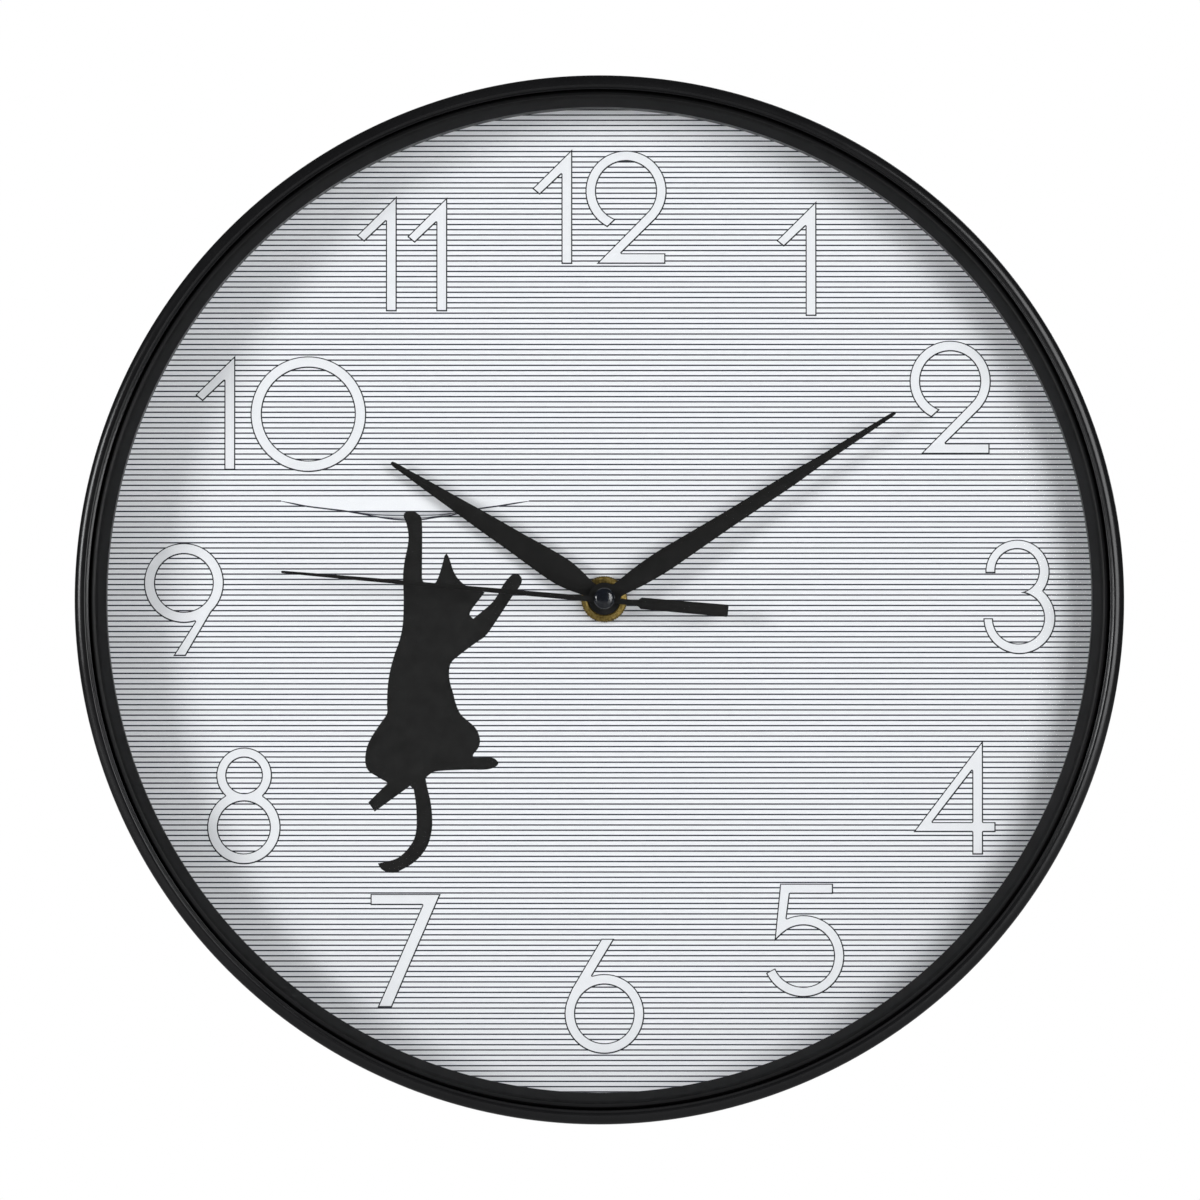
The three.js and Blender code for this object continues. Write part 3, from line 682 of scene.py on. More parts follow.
def minus(spans, cut):
    out = []
    for a, b in spans:
        if cut[1] <= a or cut[0] >= b:
            out.append((a, b))
        else:
            if cut[0] > a:
                out.append((a, cut[0]))
            if cut[1] < b:
                out.append((cut[1], b))
    return out


lines = []
k0 = int(math.floor((Z_REF - 145) / PITCH)) + 1
for k in range(-40, 160):
    z = Z_REF - PITCH * k
    edge = abs(z) + HALF_LINE
    if edge >= R_SHEET - 0.3:
        continue
    half = chord(edge, R_SHEET)
    spans = [(-half, half)]
    off = max(0.0, abs(z - AZ) - HALF_LINE)
    if off < 5.3:
        spans = minus(spans, (AX - chord(off, 5.3), AX + chord(off, 5.3)))
    if k == 37:                                  # the lines the paw has pulled out of place
        spans = minus(spans, (-91.7, -20.3))
    if k == 38:
        spans = minus(spans, (-84.8, -28.9))
    for a, b in spans:
        lines.append(box_solid(a, b, SHEET_F - 0.03, Y_BACK, z - HALF_LINE, z + HALF_LINE))
piece("dial_stripes", mesh_of("dial_stripes", *joined(lines), weld=False), INK, "case")


def ribbon(points, width, y_front, ends=0.35):
    """A printed line of the given width that narrows over its last 4 mm at each end, down to the share ends of that
    width.
    """
    p = np.array(spline(points, 6))
    t = np.gradient(p, axis=0)
    t /= np.linalg.norm(t, axis=1)[:, None]
    nrm = np.stack([-t[:, 1], t[:, 0]], 1)
    s = np.concatenate([[0], np.cumsum(np.linalg.norm(np.diff(p, axis=0), axis=1))])
    w = np.clip(np.minimum(s, s[-1] - s) / 4.0, 0, 1) * (1 - ends) + ends
    left, right = p + nrm * (width / 2 * w)[:, None], p - nrm * (width / 2 * w)[:, None]
    loop = [tuple(q) for q in left] + [tuple(q) for q in right[::-1]]
    n = len(left)
    verts = [(x, y_front, z) for x, z in loop] + [(x, Y_BACK, z) for x, z in loop]
    m = 2 * n
    faces = []
    for i in range(n - 1):
        faces.append((i, i + 1, m - 2 - i, m - 1 - i))
        faces.append((m + m - 1 - i, m + m - 2 - i, m + i + 1, m + i))
    for i in range(m):
        j = (i + 1) % m
        faces.append((i, i + m, j + m, j))
    return verts, faces


SAG_A = [(-91.69, 28.68), (-88.24, 27.96), (-84.78, 27.27), (-79.02, 26.52), (-73.26, 25.82), (-68.37, 24.96), (-63.76, 24.13),
         (-60.3, 23.58), (-56.56, 23.26), (-53.97, 23.17), (-51.23, 23.35), (-47.06, 24.01), (-43.6, 24.41), (-39.57, 25.42),
         (-34.82, 26.46), (-28.77, 27.32), (-24.31, 28.04), (-20.28, 28.66)]
SAG_B = [(-84.78, 27.21), (-77.58, 26.4), (-71.25, 25.57), (-66.06, 24.9), (-60.88, 24.61), (-56.56, 24.56), (-51.38, 24.61),
         (-46.48, 24.73), (-42.45, 25.16), (-37.27, 26.06), (-28.92, 27.25)]
SAG_E = [(-71.25, 25.48), (-65.49, 24.38), (-60.88, 23.92), (-56.56, 23.75), (-51.38, 23.81), (-47.06, 24.27), (-43.02, 24.85)]
piece("dial_pulled_lines", mesh_of("dial_pulled_lines", *joined([
    ribbon(SAG_A, 0.42, SHEET_F - 0.044), ribbon(SAG_B, 0.27, SHEET_F - 0.042), ribbon(SAG_E, 0.21, SHEET_F - 0.046)]), weld=False),
    INK, "case")
pocket = [(x, 25.45) for x in np.linspace(-71.0, -42.6, 12)] + [p for p in reversed(spline(SAG_A, 6)) if -71.0 < p[0] < -42.6 and p[1] < 25.4]
piece("dial_pocket_shade", mesh_of("dial_pocket_shade", *slab([[tuple(map(float, p)) for p in pocket]], SHEET_F - 0.038, Y_BACK)),
      GREY_INK, "case")

# numerals, in strokes of a thin geometric face; S turns drawing units into mm
S = 0.28790


def place(pts, x, z):
    return [(x + px * S, z - pz * S) for px, pz in pts]


def one(x, z, h=114.3):
    pts = place([(0.3, -0.8), (0.3, h), (-10.6, h), (-10.6, 24.4), (-32.3, 45.0), (-39.8, 38.9)], x, z)
    return lambda X, Z: d_poly(pts, X, Z)


def two(x, z):
    cut = place([(-9.0, 27.1), (6.5, 7.6), (39.0, 46.4), (0, 62), (-24.4, 41.5)], x, z)
    low = place([(23.4, 19.0), (31.0, 26.7), (-4.9, 62.2), (39.4, 62.2), (39.4, 72.8), (-29.6, 72.8)], x, z)
    return lambda X, Z: np.minimum(np.maximum(d_ring(x, z, 40.7 * S, 30.0 * S, X, Z), -d_poly(cut, X, Z)), d_poly(low, X, Z))


def rings(*items):
    return lambda X, Z: np.minimum.reduce([d_ring(x, z, a, b, X, Z) for x, z, a, b in items])


def union(*fields):
    return lambda X, Z: np.minimum.reduce([f(X, Z) for f in fields])


def at(px, py):
    """Drawing units from the dial centre (y down) to mm."""
    return (0.17 + (px - 600.0) * S, 0.19 - (py - 600.0) * S)


def three():
    ux, uz = at(1017.6, 571.9)
    lx, lz = at(1019.5, 618.2)
    ix, iz = at(1017.2, 571.0)
    jx, jz = at(1018.5, 618.1)
    gap = [at(975, 573.2), at(1021.0, 573.2), at(1021.0, 618.2), at(975, 618.2)]

    def field(X, Z):
        body = np.minimum(d_disc(ux, uz, 32.2 * S, X, Z), d_disc(lx, lz, 36.1 * S, X, Z))
        return np.maximum.reduce([body, -d_disc(ix, iz, 21.7 * S, X, Z), -d_disc(jx, jz, 25.5 * S, X, Z), -d_poly(gap, X, Z)])
    return field


def four():
    outer = [at(982.9, 740.2), at(982.9, 822.1), at(995.4, 822.1), at(995.4, 832.1), at(982.9, 832.1), at(982.9, 854.6),
             at(972.1, 854.6), at(972.1, 832.1), at(913.2, 832.1)]
    inner = [at(972.1, 770.6), at(932.4, 822.1), at(972.1, 822.1)]
    return lambda X, Z: np.maximum(d_poly(outer, X, Z), -d_poly(inner, X, Z))


def five():
    cx, cz = at(803.2, 956.0)
    flag = [at(780, 883.6), at(832.9, 883.6), at(832.9, 893.8), at(789.8, 893.8), at(786.2, 920.5), at(788.4, 928.9), at(781.7, 934.0), at(774.3, 941.2)]
    cut = [at(774.3, 941.2), at(781.7, 934.0), at(803.2, 958), at(774.8, 968.2), at(755.0, 978.4), at(740.0, 984.0), at(740.0, 884.0), at(780.0, 884.0)]
    ring = d_ring

    def field(X, Z):
        return np.minimum(np.maximum(ring(cx, cz, 41.0 * S, 30.6 * S, X, Z), -d_poly(cut, X, Z)), d_poly(flag, X, Z))
    return field


def six():
    cx, cz = at(604.4, 1013.7)
    leg = [at(601.4, 938.6), at(614.6, 938.6), at(592.0, 976.0), at(584.0, 990.5), at(574.0, 1000.0), at(565.8, 1005.0), at(568.2, 996.4), at(571.6, 988.6)]
    return union(rings((cx, cz, 39.9 * S, 29.2 * S)), lambda X, Z: d_poly(leg, X, Z))


def seven():
    pts = [at(370.7, 893.9), at(440.9, 893.9), at(392.1, 1007.1), at(377.7, 1007.1), at(422.6, 905), at(370.7, 905)]
    return lambda X, Z: d_poly(pts, X, Z)


def eight():
    ax, az = at(244.3, 775.5)
    bx, bz = at(244.1, 827.5)

    def field(X, Z):
        solid = np.minimum(d_disc(ax, az, 27.9 * S, X, Z), d_disc(bx, bz, 36.8 * S, X, Z))
        return np.maximum.reduce([solid, -d_disc(ax, az, 17.7 * S, X, Z), -d_disc(bx, bz, 25.9 * S, X, Z)])
    return field


def nine():
    cx, cz = at(183.9, 583.1)
    leg = [at(223.0, 590.0), at(218.6, 600.0), at(185.7, 656.1), at(173.2, 656.1), at(196.9, 619.0), at(204.0, 606.0), at(213.0, 590.0)]
    return union(rings((cx, cz, 40.0 * S, 28.8 * S)), lambda X, Z: d_poly(leg, X, Z))


zero_x, zero_z = at(308.2, 414.1)
GLYPHS = [
    ("twelve_1", one(*at(572.0, 149.3)), (530, 578, 145, 268)),
    ("twelve_2", two(*at(626.1, 190.7)), (582, 671, 146, 268)),
    ("one", one(*at(816.4, 201.4)), (772, 822, 197, 320)),
    ("two", two(*at(950.4, 381.2)), (906, 996, 336, 458)),
    ("three", three(), (978, 1060, 535, 659)),
    ("four", four(), (908, 1001, 735, 860)),
    ("five", five(), (756, 850, 878, 1002)),
    ("six", six(), (559, 650, 933, 1059)),
    ("seven", seven(), (365, 446, 888, 1012)),
    ("eight", eight(), (202, 286, 742, 870)),
    ("nine", nine(), (138, 230, 538, 661)),
    ("ten_1", one(*at(234.8, 356.1), 113.9), (190, 240, 351, 475)),
    ("ten_0", rings((zero_x, zero_z, 57.9 * S, 46.4 * S)), (245, 371, 351, 477)),
    ("eleven_1", one(*at(396.3, 196.4), 114.7), (351, 402, 191, 316)),
    ("eleven_2", one(*at(446.8, 197.5), 113.6), (402, 452, 192, 316)),
]
edges, fills = [], []
for name, field, (px0, px1, py0, py1) in GLYPHS:
    (x0, z1), (x1, z0) = at(px0, py0), at(px1, py1)
    outer, inner = shape_groups(field, x0, x1, z0, z1, 0.12, 0.34)
    edges += outer
    fills += [[[(x - 0.02, z + 0.06) for x, z in loop] for loop in g] for g in inner]
piece("dial_numeral_outlines", mesh_of("dial_numeral_outlines", *slab(edges, SHEET_F - 0.05, Y_BACK), weld=False), OUTLINE, "case")
piece("dial_numeral_fills", mesh_of("dial_numeral_fills", *slab(fills, SHEET_F - 0.062, Y_BACK), weld=False), FILL, "case")

CAT = [(-56.39, 24.38), (-55.98, 25.39), (-54.72, 25.85), (-53.19, 25.65), (-51.38, 24.1), (-51.12, 22.66), (-51.11, 6.61),
       (-50.68, 5.46), (-47.91, 4.83), (-46.99, 5.46), (-45.06, 10.99), (-44.58, 12.92), (-44.0, 13.55), (-43.39, 12.54),
       (-41.98, 8.43), (-40.71, 6.35), (-38.38, 4.31), (-33.0, 2.38), (-34.52, 0.45), (-37.37, -3.93), (-36.33, -5.22),
       (-30.92, -0.59), (-29.25, 1.74), (-27.84, 4.31), (-26.32, 6.35), (-24.76, 7.65), (-23.21, 7.5), (-22.32, 6.09),
       (-22.72, 4.57), (-25.28, 0.97), (-29.14, -4.97), (-32.99, -10.35), (-34.89, -11.65), (-39.84, -15.3), (-42.49, -17.61),
       (-43.15, -19.27), (-43.15, -22.9), (-42.14, -26.53), (-41.16, -30.16), (-39.84, -32.8), (-37.85, -34.62), (-35.86, -36.43),
       (-34.88, -38.1), (-34.37, -40.4), (-34.88, -42.39), (-36.35, -44.37), (-36.35, -45.21), (-30.42, -45.35), (-29.1, -46.9),
       (-31.08, -48.34), (-39.17, -48.66), (-45.76, -49.0), (-47.74, -49.32), (-49.07, -50.16), (-50.07, -51.05), (-49.53, -53.92),
       (-48.63, -57.72), (-48.2, -61.26), (-48.14, -65.06), (-48.63, -67.99), (-49.52, -70.64), (-51.27, -73.28), (-53.6, -75.5),
       (-56.54, -77.25), (-58.89, -78.29), (-60.94, -78.11), (-62.72, -77.25), (-63.73, -75.64), (-60.36, -74.89), (-58.0, -74.03),
       (-55.96, -72.39), (-54.5, -70.64), (-53.32, -68.59), (-52.69, -65.95), (-52.6, -62.12), (-52.89, -57.72), (-53.47, -54.21),
       (-54.51, -53.32), (-64.66, -60.71), (-66.5, -58.07), (-60.81, -52.46), (-63.95, -50.64), (-66.42, -49.0), (-67.31, -47.02),
       (-67.32, -44.37), (-66.74, -41.72), (-65.28, -38.76), (-62.63, -34.79), (-61.14, -32.49), (-61.14, -29.84), (-60.97, -25.2),
       (-60.34, -20.57), (-59.01, -15.62), (-57.52, -11.33), (-56.63, -7.01), (-56.37, 0.71), (-56.52, 7.13), (-56.12, 11.25),
       (-55.23, 15.63), (-54.97, 18.71), (-55.61, 22.31)]
CAT_CORNERS = {6, 12, 17, 20, 46, 54, 67, 76, 77, 78, 79, 80}
cat_loop = spline(CAT, 5, closed=True, corner=CAT_CORNERS)
piece("dial_cat", mesh_of("dial_cat", *slab([cat_loop], SHEET_F - 0.055, Y_BACK)), CAT_INK, "case")

# ------------------------------------------------------------------ hands
def width_at(stations, v):
    s = spline(stations, 12)
    return np.interp(v, [a for a, _ in s], [b for _, b in s])


def hand_outline(stations, hub, deg, bore, tip):
    """Loops of a spear-shaped hand with a round hub, turned clockwise from twelve."""
    v = np.concatenate([np.linspace(stations[0][0], stations[-1][0], 90)])
    w = width_at(stations, v)
    right = list(zip(w, v))
    left = list(zip(-w[::-1], v[::-1]))
    cap = [(w[-1] * math.cos(a), v[-1] + tip * math.sin(a)) for a in np.linspace(0.25, math.pi - 0.25, 7)]
    blade = right + cap + left
    c, s = math.cos(math.radians(deg)), math.sin(math.radians(deg))
    turned = [(AX + u * c + q * s, AZ - u * s + q * c) for u, q in blade]
    xs = [p[0] for p in turned] + [AX - hub, AX + hub]
    zs = [p[1] for p in turned] + [AZ - hub, AZ + hub]

    def field(X, Z):
        d = np.minimum(d_poly(turned, X, Z), d_disc(AX, AZ, hub, X, Z))
        return np.maximum(d, -d_disc(AX, AZ, bore, X, Z))
    return shape_groups(field, min(xs) - 0.6, max(xs) + 0.6, min(zs) - 0.6, max(zs) + 0.6, 0.12, 0.0, 0.008)


HOUR_DEG, MINUTE_DEG, SECOND_DEG = 302.6, 57.4, 275.0
HOUR = [(3.2, 2.1), (6, 2.43), (9.5, 3.25), (13.5, 3.87), (17.2, 3.92), (23.8, 3.6), (30.3, 3.15), (36, 2.9), (44.3, 2.45),
        (51, 2.0), (56.7, 1.66), (60.7, 1.43), (64.3, 1.15), (66.8, 0.97), (71.8, 0.66), (72.5, 0.5)]
MINUTE = [(3.2, 2.0), (5.7, 2.15), (12, 2.85), (20, 3.2), (26, 3.0), (32.6, 2.75), (41.5, 2.4), (51, 2.17), (63.5, 1.87),
          (73.6, 1.31), (82.7, 1.08), (90.7, 0.78), (98.8, 0.48), (99.1, 0.4)]


def collet(r0, r1, y0, y1):
    return lathe(fillet([(r0, y0), (r1, y0), (r1, y1), (r0, y1)], 0.12, 2), 64, AX, AZ)


hf, hb = ybox("hour_hand")
hour = piece("hour_hand_blade", mesh_of("hour_hand_blade", *slab(hand_outline(HOUR, 4.6, HOUR_DEG, 2.85, 0.25), -24.7, -24.2)), HAND, "hours", ("hour_hand",))
bevel(hour, 0.10, 2, 50)
piece("hour_hand_collet", mesh_of("hour_hand_collet", *collet(2.52, 3.6, -24.19, -23.3)), SPRING, "hours")
minute = piece("minute_hand_blade", mesh_of("minute_hand_blade", *slab(hand_outline(MINUTE, 4.6, MINUTE_DEG, 1.95, 0.2), -27.7, -27.2)), HAND, "minutes", ("minute_hand",))
bevel(minute, 0.10, 2, 50)
piece("minute_hand_collet", mesh_of("minute_hand_collet", *collet(1.62, 2.8, -27.19, -25.6)), SPRING, "minutes")


LOW = 0.45                                         # the pressed blade lies this far to one side of its hub's centre


def second_outline():
    needle = [(0.80, 0.0), (0.80, 3.2), (0.72, 25.0), (0.60, 55.0), (0.48, 80.0), (0.34, 92.7), (0.2, 93.0)]
    neck = [(0.8, 0.0), (0.8, -9.4), (1.1, -10.0), (1.66, -10.7), (1.76, -35.4), (1.46, -35.7)]
    half = needle[::-1] + neck
    full = [(a - LOW, b) for a, b in half + [(-a, b) for a, b in half[::-1]]]
    c, s = math.cos(math.radians(SECOND_DEG)), math.sin(math.radians(SECOND_DEG))
    turned = [(AX + u * c + q * s, AZ - u * s + q * c) for u, q in full]
    xs, zs = [p[0] for p in turned], [p[1] for p in turned]

    def field(X, Z):
        d = np.minimum(d_poly(turned, X, Z), d_disc(AX, AZ, 3.0, X, Z))
        return np.maximum(d, -d_disc(AX, AZ, 0.86, X, Z))
    return shape_groups(field, min(xs) - 0.5, max(xs) + 0.5, min(min(zs), AZ - 3) - 0.5, max(max(zs), AZ + 3) + 0.5, 0.08, 0.0, 0.008)


second = piece("second_hand_needle", mesh_of("second_hand_needle", *slab(second_outline(), -30.3, -29.9)), HAND, "seconds", ("second_hand",))
bevel(second, 0.06, 2, 50)
piece("second_hand_sleeve", mesh_of("second_hand_sleeve", *lathe(fillet([(0.86, -29.89), (1.35, -29.89), (1.35, -28.7), (0.86, -28.7)], 0.08, 2), 48, AX, AZ)),
      BRASS, "seconds", ("second_hand_tube",))
dome = [(0.0, -32.3)] + spline([(0.35, -32.295), (1.0, -32.248), (1.6, -32.164), (2.1, -32.049), (2.5, -31.887), (2.8, -31.665), (3.0, -31.351),
                                (3.1, -30.784)], 5) + [(3.1, -30.5), (3.0, -30.4), (0.0, -30.4)]
piece("second_hand_cap_dome", mesh_of("second_hand_cap_dome", *lathe(dome, 96, AX, AZ)), CAP, "seconds", ("second_hand_cap",))

# ------------------------------------------------------------------ bush, nut, washer
bush = [(2.8, -22.9), (2.9, -23.0), (3.55, -23.0)]
y = -22.8
while y < -17.4:                                   # fine thread
    bush += [(3.9, y), (3.62, y + 0.25)]
    y += 0.5
bush += [(3.9, -17.1), (3.2, -17.05), (3.2, -15.95), (2.8, -15.95)]
piece("center_bush_threaded", mesh_of("center_bush_threaded", *lathe(bush, 72, AX, AZ), crease=25), BRASS, "case", ("center_bush",))

nut_profile = [(4.02, -21.0), (4.02, -22.3), (4.3, -22.62), (4.72, -22.72), (4.82, -22.8), (5.0, -22.8), (5.15, -22.66), (6.2, -22.72), (6.42, -22.66),
               (6.62, -22.4), (6.7, -22.1), (6.7, -20.9), (6.5, -20.5), (4.2, -20.5)]


def knurl(i, a):
    depth = 0.16 if 8 <= i <= 12 else (0.07 if i == 7 else 0.0)
    return -depth * (0.5 - 0.5 * math.cos(a * 60))


piece("dial_nut_knurled", mesh_of("dial_nut_knurled", *lathe(nut_profile, 480, AX, AZ, knurl), crease=50), BRASS, "case", ("dial_nut",))
piece("movement_washer", mesh_of("movement_washer", *lathe(fillet([(4.3, -17.75), (9.5, -17.75), (9.5, -17.05), (4.3, -17.05)], 0.2, 3), 96, AX, AZ)),
      RUBBER, "case", ("rubber_washer",))

# ------------------------------------------------------------------ back of the case
cover_profile = fillet([(0, -6.6), (144.5, -6.6), (144.5, -4.6), (141.0, -4.6), (140.4, -4.95), (132.6, -4.95), (132.0, -4.6), (80.6, -4.6), (80.0, -3.6), (78.0, -3.6), (77.4, -4.6),
                        (60.0, -4.6), (59.4, -4.2), (58.0, -4.2), (57.4, -4.6), (0, -4.6)],
                       [0, 0.4, 0.5, 0.25, 0.25, 0.25, 0.25, 0.25, 0.3, 0.3, 0.25, 0.2, 0.2, 0.2, 0.2, 0], 3)
cover = piece("rear_cover_moulding", mesh_of("rear_cover_moulding", *lathe(cover_profile, 240)), COVER, "case", ("rear_cover",))
ribs = []
for k in range(24):
    a = 2 * math.pi * (k + 0.5) / 24
    if abs(math.sin(a)) * 104 < 19 and math.cos(a) > 0:
        continue
    ca, sa = math.cos(a), math.sin(a)
    pts = [(79.4, -0.55), (131.0, -0.55), (131.0, 0.55), (79.4, 0.55)]
    loop = [(r * sa + t * ca, r * ca - t * sa) for r, t in pts]
    ribs.append(slab([loop], -5.0, -4.0))
carve(cover, ribs, "UNION")
pads = [slab([round_rect(-18.5, 18.5, 90.0, 130.0, 4)], -5.4, -4.58)]
cuts = [slab([round_rect(AX - 30, AX + 30, -31.5, 28.5, 4)], -8, 0), slab([round_rect(-7.5, 7.5, 97.0, 121.5, 3)], -8, 0)]
for k in range(6):
    a = math.radians(30 + 60 * k)
    cuts.append(lathe([(0, -8), (1.5, -8), (1.5, -2), (0, -2)], 32, 141.2 * math.sin(a), 141.2 * math.cos(a)))
for s in (-1, 1):
    cuts.append(lathe([(0, -8), (1.5, -8), (1.5, -2), (0, -2)], 32, s * 11.5, 110.0))
carve(cover, cuts, "DIFFERENCE")

hang_z = -CZ_M * 1000                              # nail seat above the centre
key_c, seat, half_slot, key_r = hang_z - 13.0, hang_z - 2.6, 2.6, 5.2
a0 = math.asin(half_slot / key_r)
key = [(half_slot * math.cos(math.pi - math.pi * i / 16), seat + half_slot * math.sin(math.pi - math.pi * i / 16)) for i in range(17)]
key += [(key_r * math.cos(q), key_c + key_r * math.sin(q)) for q in np.linspace(math.pi / 2 - a0, math.pi / 2 - a0 - (2 * math.pi - 2 * a0), 40)]
hanger = piece("hanger_plate_pressing", mesh_of("hanger_plate_pressing", *slab(
    [round_rect(-15.5, 15.5, hang_z - 24, hang_z + 8, 3, 8), key, circle(-11.5, hang_z - 8, 1.5, 32), circle(11.5, hang_z - 8, 1.5, 32)], -4.5, -3.5)),
    STEEL, "case", ("hanger_plate",))
bevel(hanger, 0.16, 2, 50)


def screw(name, x, z, r, seat_y, top_y, tip_y, turn, node):
    head = [(r - 0.05, seat_y), (r, seat_y - 0.02 + 0.15), (r, seat_y + 0.5)]
    for t in np.linspace(0.15, 1.0, 7):
        q = t * math.pi / 2
        head.append((r * math.cos(q) if t < 1 else 0.0, seat_y + 0.5 + (top_y - seat_y - 0.5) * math.sin(q)))
    shank = [(0.0, tip_y), (0.35, tip_y + 0.5)]
    y = tip_y + 0.9
    while y < seat_y - 0.5:
        shank += [(1.12, y), (0.86, y + 0.32)]
        y += 0.62
    shank += [(1.05, seat_y - 0.05)]
    o = piece(name, mesh_of(name, *lathe(shank + head, 48, x, z), crease=30), STEEL, "case", (node,))
    cross = []
    for k in (0, 1):
        q = turn + k * math.pi / 2
        c, s = math.cos(q), math.sin(q)
        half_w, half_l = 0.27, r * 0.52
        base = [(-half_l, -half_w), (half_l, -half_w), (half_l, half_w), (-half_l, half_w)]
        loop = [(x + u * c - v * s, z + u * s + v * c) for u, v in base]
        top = [(p, top_y + 0.4, q2) for p, q2 in loop]
        low = [(x + (p - x) * 0.45, top_y - 1.05, z + (q2 - z) * 0.45) for p, q2 in loop]
        cross.append((top + low, [(0, 1, 2, 3), (7, 6, 5, 4), (0, 4, 5, 1), (1, 5, 6, 2), (2, 6, 7, 3), (3, 7, 4, 0)]))
    return carve(o, cross, "DIFFERENCE", 30)


for k in range(6):
    a = math.radians(30 + 60 * k)
    screw(f"cover_screw_{k + 1}_pan", 141.2 * math.sin(a), 141.2 * math.cos(a), 2.8, -4.5, -2.9, -13.8, 0.4 + 0.7 * k, f"cover_screw_{k + 1}")
for i, side in enumerate(("left", "right")):
    screw(f"hanger_screw_{side}_pan", (-11.5, 11.5)[i], hang_z - 8, 2.6, -3.4, -1.9, -9.4, 0.3 + 0.9 * i, f"hanger_screw_{side}")

# ------------------------------------------------------------------ movement, seen through the rear window
W = 1.2
tray = piece("movement_tray", mesh_of("movement_tray", *slab([round_rect(AX - 28, AX + 28, AZ - 29.5, AZ + 26.5, 2.5)], -16.9, -4.3)),
             MOVEMENT, "case", ("movement_case",))
carve(tray, [
    box_solid(AX - 28 + W, AX + 28 - W, -15.9, 0, AZ - 12.0, AZ + 26.5 - W),
    box_solid(AX - 28 + W, AX + 28 - W, -15.9, 0, AZ - 29.5 + W, AZ - 12.9),
    slab([round_rect(AX - 8, AX + 8, AZ - 32.5, AZ - 27.8, 1.2)], -10.5, 0),
    lathe([(0, -19), (3.5, -19), (3.5, -13), (0, -13)], 64, AX, AZ)])
bevel(tray, 0.22, 2, 50)
cradle = []
for sx in (-17.0, -6.0, 6.0, 17.0):                # ribs that the cell lies on
    pts = [(-27.9, -15.8), (-27.9, -12.6)]
    for q in np.linspace(-62, 62, 15):
        pts.append((-20.6 + 7.25 * math.sin(math.radians(q)), -8.6 - 7.25 * math.cos(math.radians(q))))
    pts += [(-13.2, -12.6), (-13.2, -15.8)]
    n = len(pts)
    vs = [(AX + sx - 0.5, yy, AZ + zz) for zz, yy in pts] + [(AX + sx + 0.5, yy, AZ + zz) for zz, yy in pts]
    tri = tessellate_polygon([[Vector((zz, yy, 0)) for zz, yy in pts]])
    fs = [t for t in tri] + [(c + n, b + n, a + n) for a, b, c in tri] + [(i, (i + 1) % n, (i + 1) % n + n, i + n) for i in range(n)]
    cradle.append((vs, fs))
piece("battery_cradle_ribs", mesh_of("battery_cradle_ribs", *joined(cradle), weld=False), MOVEMENT, "case")

lid = piece("movement_lid", mesh_of("movement_lid", *slab([round_rect(AX - 28, AX + 28, AZ - 12.85, AZ + 26.5, 2.5)], -4.1, -3.0)),
            MOVEMENT, "case", ("movement_cover",))
carve(lid, [lathe(fillet([(3.0, -3.6), (6.2, -3.6), (6.2, -2.5), (5.5, -2.5), (5.5, -2.9), (3.0, -2.9)], [0, 0, 0.2, 0.1, 0, 0], 2), 80, KX, KZ)], "UNION")
recess = [lathe([(0, -5), (1.3, -5), (1.3, -2), (0, -2)], 48, KX, KZ),
          slab([round_rect(AX - 24.5, AX + 1.5, AZ - 9.8, AZ + 23.2, 1.6)], -3.35, -2)]
for zz in (-6.5, 20.0):
    recess.append(slab([round_rect(AX + 22.0, AX + 26.0, AZ + zz - 1.6, AZ + zz + 1.6, 0.5)], -3.5, -2))
carve(lid, recess)
bevel(lid, 0.14, 2, 50)
grille = [slab([round_rect(AX - 22.5 + 4.0 * i, AX - 21.3 + 4.0 * i, AZ - 7.6, AZ + 21.0, 0.5, 4)], -3.4, -3.05) for i in range(6)]
piece("movement_lid_ribs", mesh_of("movement_lid_ribs", *joined(grille), weld=False), MOVEMENT, "case")

# round arrow by the knob, and the plus and minus of the battery bay, moulded proud of the plastic
arrow = []
ring_o = [(KX + 8.9 * math.cos(t), KZ + 8.9 * math.sin(t)) for t in np.linspace(math.radians(35), math.radians(118), 24)]
ring_i = [(KX + 8.2 * math.cos(t), KZ + 8.2 * math.sin(t)) for t in np.linspace(math.radians(118), math.radians(35), 24)]
arrow.append(slab([ring_o + ring_i], -3.05, -2.78))
t = math.radians(118)
tip = [(KX + 8.55 * math.cos(t + 0.30), KZ + 8.55 * math.sin(t + 0.30)), (KX + 9.9 * math.cos(t - 0.02), KZ + 9.9 * math.sin(t - 0.02)),
       (KX + 7.2 * math.cos(t - 0.02), KZ + 7.2 * math.sin(t - 0.02))]
arrow.append(slab([tip], -3.05, -2.78))
plus = [(-1.6, -0.4), (-0.4, -0.4), (-0.4, -1.6), (0.4, -1.6), (0.4, -0.4), (1.6, -0.4), (1.6, 0.4), (0.4, 0.4), (0.4, 1.6), (-0.4, 1.6), (-0.4, 0.4), (-1.6, 0.4)]
arrow.append(slab([[(AX + 23.6 + u, AZ - 10.6 + v) for u, v in plus]], -3.05, -2.78))
arrow.append(slab([[(AX - 25.2, AZ - 11.0), (AX - 22.0, AZ - 11.0), (AX - 22.0, AZ - 10.2), (AX - 25.2, AZ - 10.2)]], -3.05, -2.78))
piece("movement_marks", mesh_of("movement_marks", *joined(arrow), weld=False), MOVEMENT, "case")

